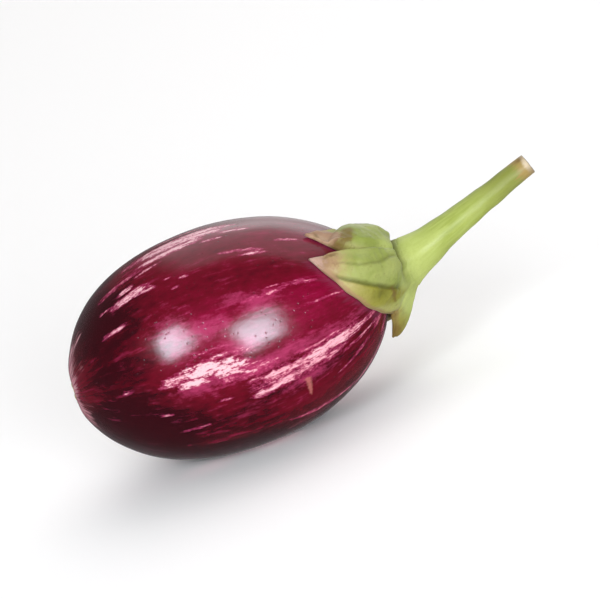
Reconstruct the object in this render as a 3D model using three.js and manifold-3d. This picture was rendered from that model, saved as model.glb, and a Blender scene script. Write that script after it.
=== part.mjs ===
// A small striped eggplant, as picked: the fruit, and the green calyx that grew as
// one piece with its stem.
//
// Units are millimetres, +Z is up and z = 0 is the plane that the fruit lies on.
// The long axis of the fruit runs along +X, with the stem at the +X end.  The origin
// is the middle of the small flat spot that the fruit rests on.
//
// Around the long axis, angles are counted from the -Y side (0 degrees) up through
// the top (90 degrees).  The calyx is described from its own zero, CALYX_TURN degrees
// further round, because its sepals are set a little towards the top.

import * as THREE from 'three';
import Module from 'manifold-3d';

// ---- fruit ------------------------------------------------------------------------
const HALF_LENGTH = 37.5;          // from the middle of the fruit to either pole
const HALF_WIDTH = 25.9;           // largest radius
const BLOSSOM_FULLNESS = 0.13;     // how much blunter the blossom half is
const DIMPLE_DEPTH = 0.9;          // at the blossom scar
const DIMPLE_RADIUS = 3.2;
const LUMPS = [                    // [share of the radius, lobes around, turn in degrees]
  [0.010, 2, 35],
  [0.007, 3, 80],
];
const FLAT_DEPTH = 0.5;            // how far the resting spot is worn into the skin
const FRUIT_COLUMNS = 64;
const FRUIT_ROWS = 38;

// ---- calyx ------------------------------------------------------------------------
// Lengths are measured along the skin from the stem's pole, angles in degrees.
//   root, tip      where the sepal leaves the stem and where it ends, around the axis
//   reach          length to the tip
//   before, after  how fast the edge on either side falls back to the notch
//   hood           length over which the thick crown thins out
//   core           height of the crown above the skin, at the stem
//   dome           how square-shouldered the crown is
//   lift           how far the tip stands off the skin
const SEPALS = [
  { root: -152, tip: -156, reach: 21.5, before: 1.5, after: 1.6, hood: 20, core: 4.6, dome: 1.6, lift: 0.5 },
  { root: -80, tip: -76, reach: 12.8, before: 1.3, after: 1.3, hood: 15, core: 6.4, dome: 1.1, lift: 1.8 },
  { root: -8, tip: 28.5, reach: 26.4, before: 1.13, after: 2.5, hood: 27, core: 5.6, dome: 1.3, lift: 0.15 },
  { root: 84, tip: 49, reach: 25.2, before: 1, after: 3, hood: 15.6, core: 5.9, dome: 2.7, lift: 0.1 },
  { root: 150, tip: 148, reach: 22.6, before: 1.6, after: 1.6, hood: 20, core: 5.2, dome: 1.6, lift: 0.6 },
];
const NOTCHES = [                  // the notch that follows each sepal: [angle, length]
  [-117, 9.2],
  [-49, 9.4],
  [34, 16.4],
  [112, 12],
  [178, 10.5],
];
const CALYX_TURN = 18;
const CALYX_GAP = 0.35;            // clearance between the calyx and the skin
const EDGE_THICKNESS = 1.2;        // at the rim of a sepal
const EDGE_WAVE = 0.22;
const RIB_HEIGHT = 0.55;           // raised midrib of each sepal
const RIB_HALF_ANGLE = 11;
const COLUMNS_PER_SIDE = 10;       // grid columns from a notch to a tip
const UNDER_ROWS = 9;
const CROWN_ROWS = 14;

// ---- stem -------------------------------------------------------------------------
const STEM_LENGTH = 39.6;          // from the pole of the fruit to the cut end
const STEM_BEND = 19;              // degrees off the fruit's axis, towards the top
const STEM_LEAN = 5;               // degrees towards the -Y side
const STEM_THIN_RADIUS = 2.4;
const STEM_SWELL = 2.5;            // extra radius where it meets the calyx
const STEM_SWELL_LENGTH = 10;
const STEM_JOIN = 4.4;             // length along the skin at which the stem takes over
const SHOULDERS = [1.5, 1.8, 1.2, 0.2, 1.0];   // rise of the crown into the stem, by sepal
const STEM_FLUTE = 0.03;           // five faint flutes, fading along the stem
const STEM_ROWS = 10;

const MATERIALS = {
  fruit: new THREE.MeshStandardMaterial({ color: 0x78172d, roughness: 0.25 }),
  calyx_with_stem: new THREE.MeshStandardMaterial({ color: 0xa9b762, roughness: 0.6 }),
};

// ---- small maths ------------------------------------------------------------------
const radians = (degrees) => degrees * Math.PI / 180;
const wrap = (degrees) => ((degrees % 360) + 360) % 360;
const signedWrap = (degrees) => wrap(degrees + 180) - 180;
const clamp01 = (value) => Math.min(1, Math.max(0, value));
const ease = (value) => clamp01(value) ** 2 * (3 - 2 * clamp01(value));

// An eased value around the axis, through one value per sepal at the sepal's root.
function bySepal(angle, values) {
  const start = SEPALS[0].root;
  const turned = wrap(angle - start);
  for (let i = 0; i < SEPALS.length; i++) {
    const from = SEPALS[i].root - start;
    const to = i + 1 < SEPALS.length ? SEPALS[i + 1].root - start : 360;
    if (turned <= to) {
      const next = values[(i + 1) % values.length];
      return values[i] + (next - values[i]) * ease((turned - from) / (to - from));
    }
  }
  return values[0];
}

// ---- the fruit's skin -------------------------------------------------------------
// polar runs from 0 at the stem's pole to PI at the blossom's, around is in radians.
function skinPoint(polar, around) {
  const c = Math.cos(polar);
  const s = Math.sin(polar);
  const fullness = c < 0 ? BLOSSOM_FULLNESS : 0;
  let radius = HALF_WIDTH * s * (1 + fullness * (s * c) ** 2);
  radius *= LUMPS.reduce(
    (sum, [share, lobes, turn], i) => sum + share * s ** (i + 1) * Math.cos(lobes * (around - radians(turn))),
    1,
  );
  const dimple = c < 0 ? DIMPLE_DEPTH * Math.exp(-((radius / DIMPLE_RADIUS) ** 2)) : 0;
  return new THREE.Vector3(
    HALF_LENGTH * c + dimple,
    -radius * Math.cos(around),
    radius * Math.sin(around),
  );
}

function skinNormal(polar, around) {
  const step = 1e-4;
  const along = skinPoint(polar + step, around).sub(skinPoint(polar - step, around));
  const across = skinPoint(polar, around + step).sub(skinPoint(polar, around - step));
  return across.cross(along).normalize();
}

function offSkin(polar, around, height) {
  return skinPoint(polar, around).addScaledVector(skinNormal(polar, around), height);
}

// The polar angle at a length along the skin from the stem's pole.
const ARC_TABLE = (() => {
  const steps = 2000;
  const table = [0];
  for (let i = 1; i <= steps; i++) {
    const a = Math.PI * (i - 1) / steps;
    const b = Math.PI * i / steps;
    const dx = HALF_LENGTH * (Math.cos(b) - Math.cos(a));
    const dr = HALF_WIDTH * (Math.sin(b) - Math.sin(a));
    table.push(table[i - 1] + Math.hypot(dx, dr));
  }
  return table;
})();

function polarAt(length) {
  let i = ARC_TABLE.findIndex((value) => value >= length);
  i = Math.max(1, i);
  const share = (length - ARC_TABLE[i - 1]) / (ARC_TABLE[i] - ARC_TABLE[i - 1]);
  return Math.PI * (i - 1 + share) / (ARC_TABLE.length - 1);
}

// ---- mesh helpers -----------------------------------------------------------------
// Joins rings of points into one closed surface, with a fan on a centre at each end.
function closedFromRings(startCentre, rings, endCentre) {
  const count = rings[0].length;
  const points = [startCentre, ...rings.flat(), endCentre];
  const at = (ring, i) => 1 + ring * count + (i % count);
  const triangles = [];
  for (let i = 0; i < count; i++) {
    triangles.push([0, at(0, i + 1), at(0, i)]);
    triangles.push([points.length - 1, at(rings.length - 1, i), at(rings.length - 1, i + 1)]);
    for (let ring = 0; ring + 1 < rings.length; ring++) {
      triangles.push([at(ring, i), at(ring, i + 1), at(ring + 1, i + 1)]);
      triangles.push([at(ring, i), at(ring + 1, i + 1), at(ring + 1, i)]);
    }
  }
  return { points, triangles };
}

function signedVolume({ points, triangles }) {
  return triangles.reduce(
    (sum, [a, b, c]) => sum + points[a].dot(points[b].clone().cross(points[c])) / 6,
    0,
  );
}

function facingOut(solid) {
  if (signedVolume(solid) > 0) return solid;
  return { points: solid.points, triangles: solid.triangles.map(([a, b, c]) => [a, c, b]) };
}

function toMesh(name, { points, triangles }) {
  const geometry = new THREE.BufferGeometry();
  const positions = points.flatMap((p) => [p.x, p.y, p.z]);
  geometry.setAttribute('position', new THREE.Float32BufferAttribute(positions, 3));
  geometry.setIndex(triangles.flat());
  geometry.computeVertexNormals();
  const mesh = new THREE.Mesh(geometry, MATERIALS[name]);
  mesh.name = name;
  return mesh;
}

// ---- fruit ------------------------------------------------------------------------
function wholeFruit() {
  const rings = [];
  for (let row = 1; row < FRUIT_ROWS; row++) {
    const polar = Math.PI * row / FRUIT_ROWS;
    const ring = [];
    for (let i = 0; i < FRUIT_COLUMNS; i++) {
      ring.push(skinPoint(polar, 2 * Math.PI * i / FRUIT_COLUMNS));
    }
    rings.push(ring);
  }
  return facingOut(closedFromRings(skinPoint(0, 0), rings, skinPoint(Math.PI, 0)));
}

async function cutBelow(solid, height) {
  const wasm = await Module();
  wasm.setup();
  const mesh = new wasm.Mesh({
    numProp: 3,
    vertProperties: new Float32Array(solid.points.flatMap((p) => [p.x, p.y, p.z])),
    triVerts: new Uint32Array(solid.triangles.flat()),
  });
  const cut = new wasm.Manifold(mesh).trimByPlane([0, 0, 1], height).getMesh();
  const points = [];
  for (let i = 0; i < cut.vertProperties.length; i += cut.numProp) {
    points.push(new THREE.Vector3(...cut.vertProperties.slice(i, i + 3)));
  }
  const triangles = [];
  for (let i = 0; i < cut.triVerts.length; i += 3) {
    triangles.push([...cut.triVerts.slice(i, i + 3)]);
  }
  return { points, triangles };
}

// The outline of the flat spot, walked once round along the edges that only one of
// its triangles has.
function outlineOf(triangles) {
  const next = new Map();
  for (const [a, b, c] of triangles) {
    for (const [from, to] of [[a, b], [b, c], [c, a]]) {
      if (next.get(to)?.delete(from)) continue;
      if (!next.has(from)) next.set(from, new Set());
      next.get(from).add(to);
    }
  }
  const start = [...next.keys()].find((key) => next.get(key).size);
  const outline = [start];
  for (let at = [...next.get(start)][0]; at !== start; at = [...next.get(at)][0]) {
    outline.push(at);
  }
  return outline;
}

// The flat spot as one large triangle round its middle, with three fans beside it.
function recapped({ points, triangles }, height) {
  const isFlat = (triangle) => triangle.every((i) => Math.abs(points[i].z - height) < 1e-4);
  const outline = outlineOf(triangles.filter(isFlat));
  const corner = (share) => Math.round(outline.length * share) % outline.length;
  const corners = [corner(0), corner(1 / 3), corner(2 / 3)];
  const cap = [corners.map((i) => outline[i])];
  corners.forEach((from, k) => {
    const to = k < 2 ? corners[k + 1] : outline.length;
    for (let i = from + 1; i < to; i++) {
      cap.push([outline[from], outline[i], outline[(i + 1) % outline.length]]);
    }
  });
  return { points, triangles: [...triangles.filter((t) => !isFlat(t)), ...cap] };
}

function middleOfFlat({ points, triangles }, height) {
  const flat = new THREE.Box3();
  for (const i of triangles.flat()) {
    if (Math.abs(points[i].z - height) < 1e-4) flat.expandByPoint(points[i]);
  }
  return flat.getCenter(new THREE.Vector3());
}

// ---- calyx and stem ---------------------------------------------------------------
// The angles of the grid's columns, so that every tip and notch has a column.
function calyxColumns() {
  const columns = [];
  SEPALS.forEach(({ tip }, i) => {
    const before = NOTCHES[(i + NOTCHES.length - 1) % NOTCHES.length][0];
    const after = NOTCHES[i][0];
    const from = tip - wrap(tip - before);
    for (let k = 0; k < COLUMNS_PER_SIDE; k++) {
      columns.push(from + (tip - from) * k / COLUMNS_PER_SIDE);
    }
    for (let k = 0; k < COLUMNS_PER_SIDE; k++) {
      columns.push(tip + wrap(after - tip) * k / COLUMNS_PER_SIDE);
    }
  });
  return columns;
}

// The length along the skin from the pole to the edge of the calyx.
function edgeLength(angle) {
  for (let i = 0; i < SEPALS.length; i++) {
    const { tip, reach, before, after } = SEPALS[i];
    const previous = NOTCHES[(i + NOTCHES.length - 1) % NOTCHES.length];
    const following = NOTCHES[i];
    const risingSpan = wrap(tip - previous[0]);
    const fallingSpan = wrap(following[0] - tip);
    const sinceNotch = wrap(angle - previous[0]);
    if (sinceNotch > risingSpan + fallingSpan) continue;
    const rising = sinceNotch <= risingSpan;
    const share = rising
      ? sinceNotch / risingSpan
      : (risingSpan + fallingSpan - sinceNotch) / fallingSpan;
    const notch = rising ? previous[1] : following[1];
    const power = rising ? before : after;
    const wave = EDGE_WAVE * Math.sin(radians(angle) * 19 + 1) * 4 * share * (1 - share);
    return notch + (reach - notch) * share ** power + wave;
  }
  return NOTCHES[0][1];
}

function ribAt(angle, share) {
  return SEPALS.reduce((sum, { root, tip }) => {
    const off = signedWrap(angle - (root + (tip - root) * share));
    return sum + Math.exp(-((off / (RIB_HALF_ANGLE - 5 * share)) ** 2));
  }, 0);
}

// Heights of the underside and of the top of the calyx above the skin.
function calyxHeights(length, angle) {
  const edge = edgeLength(angle);
  const share = clamp01(length / edge);
  const lift = bySepal(angle, SEPALS.map((sepal) => sepal.lift)) * share ** 2;
  const hood = Math.min(bySepal(angle, SEPALS.map((sepal) => sepal.hood)), edge);
  const core = bySepal(angle, SEPALS.map((sepal) => sepal.core));
  const dome = bySepal(angle, SEPALS.map((sepal) => sepal.dome));
  const crown = (core - EDGE_THICKNESS) * Math.sqrt(1 - clamp01(length / hood) ** dome);
  const rib = RIB_HEIGHT * ribAt(angle, share) * Math.sqrt(1 - share);
  const under = CALYX_GAP + lift;
  return { under, top: under + EDGE_THICKNESS + crown + rib };
}

// Directions across the fruit's axis, for an angle counted from the calyx's zero.
function across(angle) {
  const turned = radians(angle + CALYX_TURN);
  return new THREE.Vector3(0, -Math.cos(turned), Math.sin(turned));
}

const STEM_DRIFT = across(90).multiplyScalar(Math.tan(radians(STEM_BEND)))
  .addScaledVector(across(0), Math.tan(radians(STEM_LEAN)));

// How far along its slanting line the stem has moved sideways at a height over the pole.
const driftAt = (height) => (Math.hypot(height, 2) + height) / 2;

function underRings(columns) {
  const rings = [];
  for (let row = 1; row <= UNDER_ROWS; row++) {
    rings.push(columns.map((angle) => {
      const length = edgeLength(angle) * row / UNDER_ROWS;
      return offSkin(polarAt(length), radians(angle + CALYX_TURN), calyxHeights(length, angle).under);
    }));
  }
  return rings;
}

function rimRing(columns) {
  return columns.map((angle) => {
    const edge = edgeLength(angle);
    const { under, top } = calyxHeights(edge, angle);
    const bulge = 0.27 * (top - under);
    return offSkin(polarAt(edge + bulge), radians(angle + CALYX_TURN), (under + top) / 2);
  });
}

function crownPoint(angle, share) {
  const length = STEM_JOIN + (edgeLength(angle) - STEM_JOIN) * share ** 1.6;
  const shoulder = bySepal(angle, SHOULDERS) * (1 - share) ** 2;
  const height = calyxHeights(length, angle).top + shoulder;
  const upright = offSkin(polarAt(length), radians(angle + CALYX_TURN), height);
  const over = upright.x - HALF_LENGTH;
  const bent = upright.clone().addScaledVector(STEM_DRIFT, driftAt(over) * ease((over + 6) / 6));
  return { bent, over, radius: Math.hypot(upright.y, upright.z) };
}

function crownRings(columns) {
  const rings = [];
  for (let row = 0; row <= CROWN_ROWS; row++) {
    rings.push(columns.map((angle) => crownPoint(angle, 1 - row / CROWN_ROWS).bent));
  }
  return rings;
}

const stemRadius = (height) =>
  STEM_THIN_RADIUS + STEM_SWELL * Math.exp((10 - height) / STEM_SWELL_LENGTH);

// Rings from the crown to the cut end, turning square to the stem on the way.
function stemRings(columns) {
  const foot = columns.map((angle) => crownPoint(angle, 0));
  const start = foot.reduce((sum, { over }) => sum + over, 0) / foot.length;
  const fruitAxis = new THREE.Vector3(1, 0, 0);
  const stemAxis = fruitAxis.clone().add(STEM_DRIFT).normalize();
  const rings = [];
  for (let row = 1; row <= STEM_ROWS; row++) {
    const height = start + (STEM_LENGTH - start) * (row / STEM_ROWS) ** 1.3;
    const memory = Math.exp(-(height - start) / 3);
    const facing = fruitAxis.clone().lerp(stemAxis, ease((height - start) / 8)).normalize();
    const side = across(0).addScaledVector(facing, -across(0).dot(facing)).normalize();
    const top = facing.clone().cross(side).normalize();
    if (top.dot(across(90)) < 0) top.negate();
    rings.push(columns.map((angle, i) => {
      const flute = STEM_FLUTE * Math.exp((start - height) / 14) * Math.cos(radians(5 * angle + 40));
      const swell = (foot[i].radius - stemRadius(start)) * memory;
      const radius = (stemRadius(height) + swell) * (1 + flute);
      const over = height + (foot[i].over - start) * memory;
      return new THREE.Vector3(HALF_LENGTH + over, 0, 0)
        .addScaledVector(STEM_DRIFT, driftAt(over))
        .addScaledVector(side, radius * Math.cos(radians(angle)))
        .addScaledVector(top, radius * Math.sin(radians(angle)));
    }));
  }
  return rings;
}

const middleOf = (ring) => ring
  .reduce((sum, point) => sum.add(point), new THREE.Vector3())
  .divideScalar(ring.length);

function calyxWithStem() {
  const columns = calyxColumns();
  const rings = [
    ...underRings(columns),
    rimRing(columns),
    ...crownRings(columns),
    ...stemRings(columns),
  ];
  const underPole = offSkin(1e-3, 0, CALYX_GAP);
  return facingOut(closedFromRings(underPole, rings, middleOf(rings[rings.length - 1])));
}

// ---- the whole --------------------------------------------------------------------
const flatHeight = skinPoint(Math.PI / 2, -Math.PI / 2).z + FLAT_DEPTH;
const fruit = recapped(await cutBelow(wholeFruit(), flatHeight), flatHeight);
const footing = middleOfFlat(fruit, flatHeight);

const eggplant = new THREE.Group();
eggplant.name = 'eggplant';
for (const [name, solid] of [['fruit', fruit], ['calyx_with_stem', calyxWithStem()]]) {
  solid.points = solid.points.map((point) => point.clone().sub(footing));
  eggplant.add(toMesh(name, solid));
}

export default eggplant;
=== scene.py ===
"""Finish of a small striped eggplant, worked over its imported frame.

The fruit's glossy skin and the green calyx with its stem are each one fine closed
surface, computed from the same formulas as the plain solids that they stand for and
then given the low relief, the streaks and the dried edges of the real vegetable.
Shapes are worked out in millimetres and written to the meshes in metres.
"""

from __future__ import annotations

import logging
from dataclasses import dataclass, field
from enum import Enum
from typing import Any, Sequence, Union

import bpy
import numpy as np
from mathutils import Matrix, Vector


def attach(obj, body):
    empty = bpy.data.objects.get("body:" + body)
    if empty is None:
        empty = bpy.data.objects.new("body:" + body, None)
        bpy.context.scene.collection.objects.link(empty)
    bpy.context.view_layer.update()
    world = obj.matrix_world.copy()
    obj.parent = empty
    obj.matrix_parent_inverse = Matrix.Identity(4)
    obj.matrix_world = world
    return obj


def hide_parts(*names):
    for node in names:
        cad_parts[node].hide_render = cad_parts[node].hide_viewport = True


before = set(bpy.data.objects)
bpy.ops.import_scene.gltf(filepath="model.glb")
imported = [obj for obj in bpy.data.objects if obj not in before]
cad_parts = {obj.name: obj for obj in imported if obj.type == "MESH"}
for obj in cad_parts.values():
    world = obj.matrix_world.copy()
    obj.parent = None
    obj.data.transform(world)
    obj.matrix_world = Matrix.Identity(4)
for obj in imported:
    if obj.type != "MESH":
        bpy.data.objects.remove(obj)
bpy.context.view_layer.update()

LOG = logging.getLogger("eggplant")
METRES = 0.001
FULL_TURN = 360.0

Colour = tuple[float, float, float, float]


def srgb(red: int, green: int, blue: int) -> Colour:
    """Turns a colour of 0 to 255 display values into the renderer's linear values.

    Args:
        red: display value of red.
        green: display value of green.
        blue: display value of blue.

    Returns:
        Linear red, green and blue, and an alpha of 1.
    """

    def linear(value: float) -> float:
        """The standard display curve, undone for one value from 0 to 1."""
        return value / 12.92 if value <= 0.04045 else ((value + 0.055) / 1.055) ** 2.4

    return (linear(red / 255), linear(green / 255), linear(blue / 255), 1.0)


# ---- arrays ---------------------------------------------------------------------------


class Seed(Enum):
    """Seeds of the random draws, one for each use."""

    UNDULATION = 3
    FINE_UNDULATION = 4
    HIDDEN_STREAKS = 5
    SCAR = 9
    CRINKLE = 11
    PUCKER = 12
    STEM = 21
    CUT = 31


def ease(share: np.ndarray) -> np.ndarray:
    """The S-shaped step 3t^2 - 2t^3 of a share held between 0 and 1."""
    t = np.clip(share, 0.0, 1.0)
    return t * t * (3.0 - 2.0 * t)


def ramp(value: np.ndarray, start: float, end: float) -> np.ndarray:
    """The S-shaped step from 0 at the start to 1 at the end, which may be the smaller."""
    return ease((value - start) / (end - start))


def bell(offset: np.ndarray, width: Union[float, np.ndarray]) -> np.ndarray:
    """The bell curve exp(-(offset / width)^2)."""
    return np.exp(-((offset / width) ** 2))


def turn_between(angle: np.ndarray, centre: Union[float, np.ndarray]) -> np.ndarray:
    """The signed turn in degrees from a centre angle to an angle, from -180 to 180."""
    return np.mod(angle - centre + 180.0, FULL_TURN) - 180.0


def unit(vector: np.ndarray) -> np.ndarray:
    """A vector, or each vector of an array, at length 1."""
    return vector / np.linalg.norm(vector, axis=-1, keepdims=True)


def ripple(points: np.ndarray, wavelength: float, seed: Seed, waves: int = 14) -> np.ndarray:
    """Soft irregular relief: a sum of plane sine waves with drawn directions.

    Each wave is sin(2 pi k . p + phase), where k has a drawn direction and a length
    within a quarter of 1 / wavelength.

    Args:
        points: positions, in the last axis, in millimetres.
        wavelength: typical distance from crest to crest.
        seed: seed of the draw.
        waves: number of waves.

    Returns:
        Relief with a spread of about 1.
    """
    draw = np.random.default_rng(seed.value)
    heading = unit(draw.normal(size=(waves, 3)))
    pitch = draw.uniform(0.75, 1.25, size=(waves, 1)) / wavelength
    phase = draw.uniform(0.0, 2.0 * np.pi, size=waves)
    total = np.sin(2.0 * np.pi * points @ (heading * pitch).T + phase).sum(axis=-1)
    return total * np.sqrt(2.0 / waves)


# ---- marks ----------------------------------------------------------------------------


@dataclass(frozen=True)
class Patch:
    """A soft oval mark, centred at an angle about the axis and a length along the skin.

    Its half width is in degrees, or in millimetres where a degree's width is given.
    """

    angle: float
    at: float
    half_width: float
    half_length: float
    strength: float = 1.0

    def field(
        self, angle: np.ndarray, along: np.ndarray, degree: Union[float, np.ndarray] = 1.0
    ) -> np.ndarray:
        """The product of a bell curve across and one along.

        Args:
            angle: angles about the axis.
            along: lengths along the skin from the stem's pole.
            degree: width of a degree there, in millimetres.

        Returns:
            The mark's strength at each point.
        """
        across = turn_between(angle, self.angle) * degree
        return self.strength * bell(across, self.half_width) * bell(along - self.at, self.half_length)


@dataclass(frozen=True)
class Band:
    """A broad lengthwise band: a bell curve about the axis, its half width in degrees.

    It is whole at one length along the skin and eased to nothing at another, and the
    same all along where the two are equal.
    """

    angle: float
    half_width: float
    strength: float
    whole_at: float = 0.0
    gone_at: float = 0.0

    def field(self, angle: np.ndarray, along: np.ndarray) -> np.ndarray:
        """The bell curve times the ramp along.

        Args:
            angle: angles about the axis.
            along: lengths along the skin from the stem's pole.

        Returns:
            The band's strength at each point.
        """
        band = self.strength * bell(turn_between(angle, self.angle), self.half_width)
        if self.whole_at == self.gone_at:
            return band
        return band * ramp(along, self.gone_at, self.whole_at)


def total(marks: Sequence[Union[Patch, Band]], angle: np.ndarray, along: np.ndarray) -> np.ndarray:
    """The sum of several marks.

    Args:
        marks: the marks to add up.
        angle: angles about the axis.
        along: lengths along the skin from the stem's pole.

    Returns:
        Their summed strength at each point.
    """
    return sum(mark.field(angle, along) for mark in marks)


# ---- the fruit's skin as a formula ----------------------------------------------------


def stem_pole() -> np.ndarray:
    """The plain fruit's foremost point along X, where its stem grows.

    Returns:
        Its position in millimetres.
    """
    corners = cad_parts["fruit"].data.vertices
    places = np.empty(3 * len(corners), np.float32)
    corners.foreach_get("co", places)
    places = places.reshape(-1, 3).astype(float)
    return places[places[:, 0].argmax()] / METRES


@dataclass(frozen=True)
class Skin:
    """The fruit's outer form, an egg with its long axis along X."""

    half_length: float = 37.5
    half_width: float = 25.9
    blossom_fullness: float = 0.13
    dimple_depth: float = 0.9
    dimple_radius: float = 3.2
    two_sided: float = 0.010
    two_sided_turn: float = 35.0
    three_sided: float = 0.007
    three_sided_turn: float = 80.0
    arc_steps: int = 2000
    pole: np.ndarray = field(default_factory=stem_pole)

    def point(self, polar: np.ndarray, around: np.ndarray) -> np.ndarray:
        """A point of the skin, from the fruit's middle.

        The radius is the half width times sin(polar), a little fuller in the blossom
        half and with two- and three-sided unevenness of about one part in a hundred.

        Args:
            polar: angle in radians, 0 at the stem's pole and pi at the blossom's.
            around: angle in radians about X, 0 at -Y and a quarter turn at +Z.

        Returns:
            Positions in millimetres.
        """
        cosine, sine = np.cos(polar), np.sin(polar)
        fullness = np.where(cosine < 0.0, self.blossom_fullness, 0.0)
        two_sided = np.cos(2.0 * (around - np.radians(self.two_sided_turn)))
        three_sided = np.cos(3.0 * (around - np.radians(self.three_sided_turn)))
        uneven = 1.0 + self.two_sided * sine * two_sided + self.three_sided * sine**2 * three_sided
        radius = self.half_width * sine * (1.0 + fullness * (sine * cosine) ** 2) * uneven
        dimple = self.dimple_depth * bell(radius, self.dimple_radius) * (cosine < 0.0)
        return np.stack(
            [self.half_length * cosine + dimple, -radius * np.cos(around), radius * np.sin(around)],
            axis=-1,
        )

    def normal(self, polar: np.ndarray, around: np.ndarray) -> np.ndarray:
        """The outward normal, from the cross product of two small steps.

        Args:
            polar: angle in radians from the stem's pole.
            around: angle in radians about X.

        Returns:
            Vectors of length 1.
        """
        step = 1e-4
        along = self.point(polar + step, around) - self.point(polar - step, around)
        across = self.point(polar, around + step) - self.point(polar, around - step)
        return unit(np.cross(across, along))

    def off(self, polar: np.ndarray, around: np.ndarray, height: np.ndarray) -> np.ndarray:
        """A point at a height above the skin, along its normal."""
        return self.point(polar, around) + self.normal(polar, around) * height[..., None]

    def arc_table(self) -> tuple[np.ndarray, np.ndarray]:
        """Lengths along the plain ellipse, summed over small chords.

        Returns:
            Polar angles, and the length from the stem's pole to each.
        """
        polar = np.linspace(0.0, np.pi, self.arc_steps + 1)
        steps = np.hypot(
            self.half_length * np.diff(np.cos(polar)), self.half_width * np.diff(np.sin(polar))
        )
        return polar, np.concatenate([[0.0], np.cumsum(steps)])

    def polar_at(self, length: np.ndarray) -> np.ndarray:
        """The polar angle at a length along the skin from the stem's pole."""
        polar, arc = self.arc_table()
        return np.interp(length, arc, polar)

    def placed(self, points: np.ndarray) -> np.ndarray:
        """Positions from the fruit's middle, moved to the row's frame."""
        return points + self.pole - np.array([self.half_length, 0.0, 0.0])


# ---- the calyx as a formula -----------------------------------------------------------


@dataclass(frozen=True)
class Sepal:
    """One lobe of the calyx and the notch after it. Lengths run along the skin.

    Angles are in degrees about the fruit's axis, from the calyx's own zero.
    """

    root: float
    tip: float
    reach: float
    before: float
    after: float
    hood: float
    core: float
    dome: float
    lift: float
    shoulder: float
    notch: float
    notch_reach: float


SEPALS = (
    Sepal(-152, -156, 21.5, 1.5, 1.6, 20, 4.6, 1.6, 0.5, 1.5, -117, 9.2),
    Sepal(-80, -76, 12.8, 1.3, 1.3, 15, 6.4, 1.1, 1.8, 1.8, -49, 9.4),
    Sepal(-8, 28.5, 26.4, 1.13, 2.5, 27, 5.6, 1.3, 0.15, 1.2, 34, 16.4),
    Sepal(84, 49, 25.2, 1, 3, 15.6, 5.9, 2.7, 0.1, 0.2, 112, 12),
    Sepal(150, 148, 22.6, 1.6, 1.6, 20, 5.2, 1.6, 0.6, 1.0, 178, 10.5),
)


@dataclass(frozen=True)
class Crease:
    """A line pressed into a sepal, through stops of (angle, share of the way to the edge)."""

    stops: tuple[tuple[float, float], ...]
    half_width: float
    depth: float
    fade_in: float = 0.1
    fade_out: float = 0.08

    def profile(self, angle: np.ndarray, share: np.ndarray, length: np.ndarray) -> np.ndarray:
        """How fully a point lies on the line, from 0 to 1.

        The line's angle is read at the point's share of the way to the edge, and the
        bell curve of the distance across fades out past both ends.

        Args:
            angle: angles from the calyx's zero.
            share: shares of the way from the pole to the edge.
            length: lengths along the skin from the pole.

        Returns:
            The line's strength at each point.
        """
        stops = np.array(sorted((at, turn) for turn, at in self.stops))
        first, last = stops[0, 0], stops[-1, 0]
        centre = np.interp(share, stops[:, 0], stops[:, 1])
        across = np.radians(turn_between(angle, centre)) * length
        ends = ramp(share, first - self.fade_in, first) * ramp(share, last + self.fade_out, last)
        return bell(across, self.half_width) * ends


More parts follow.
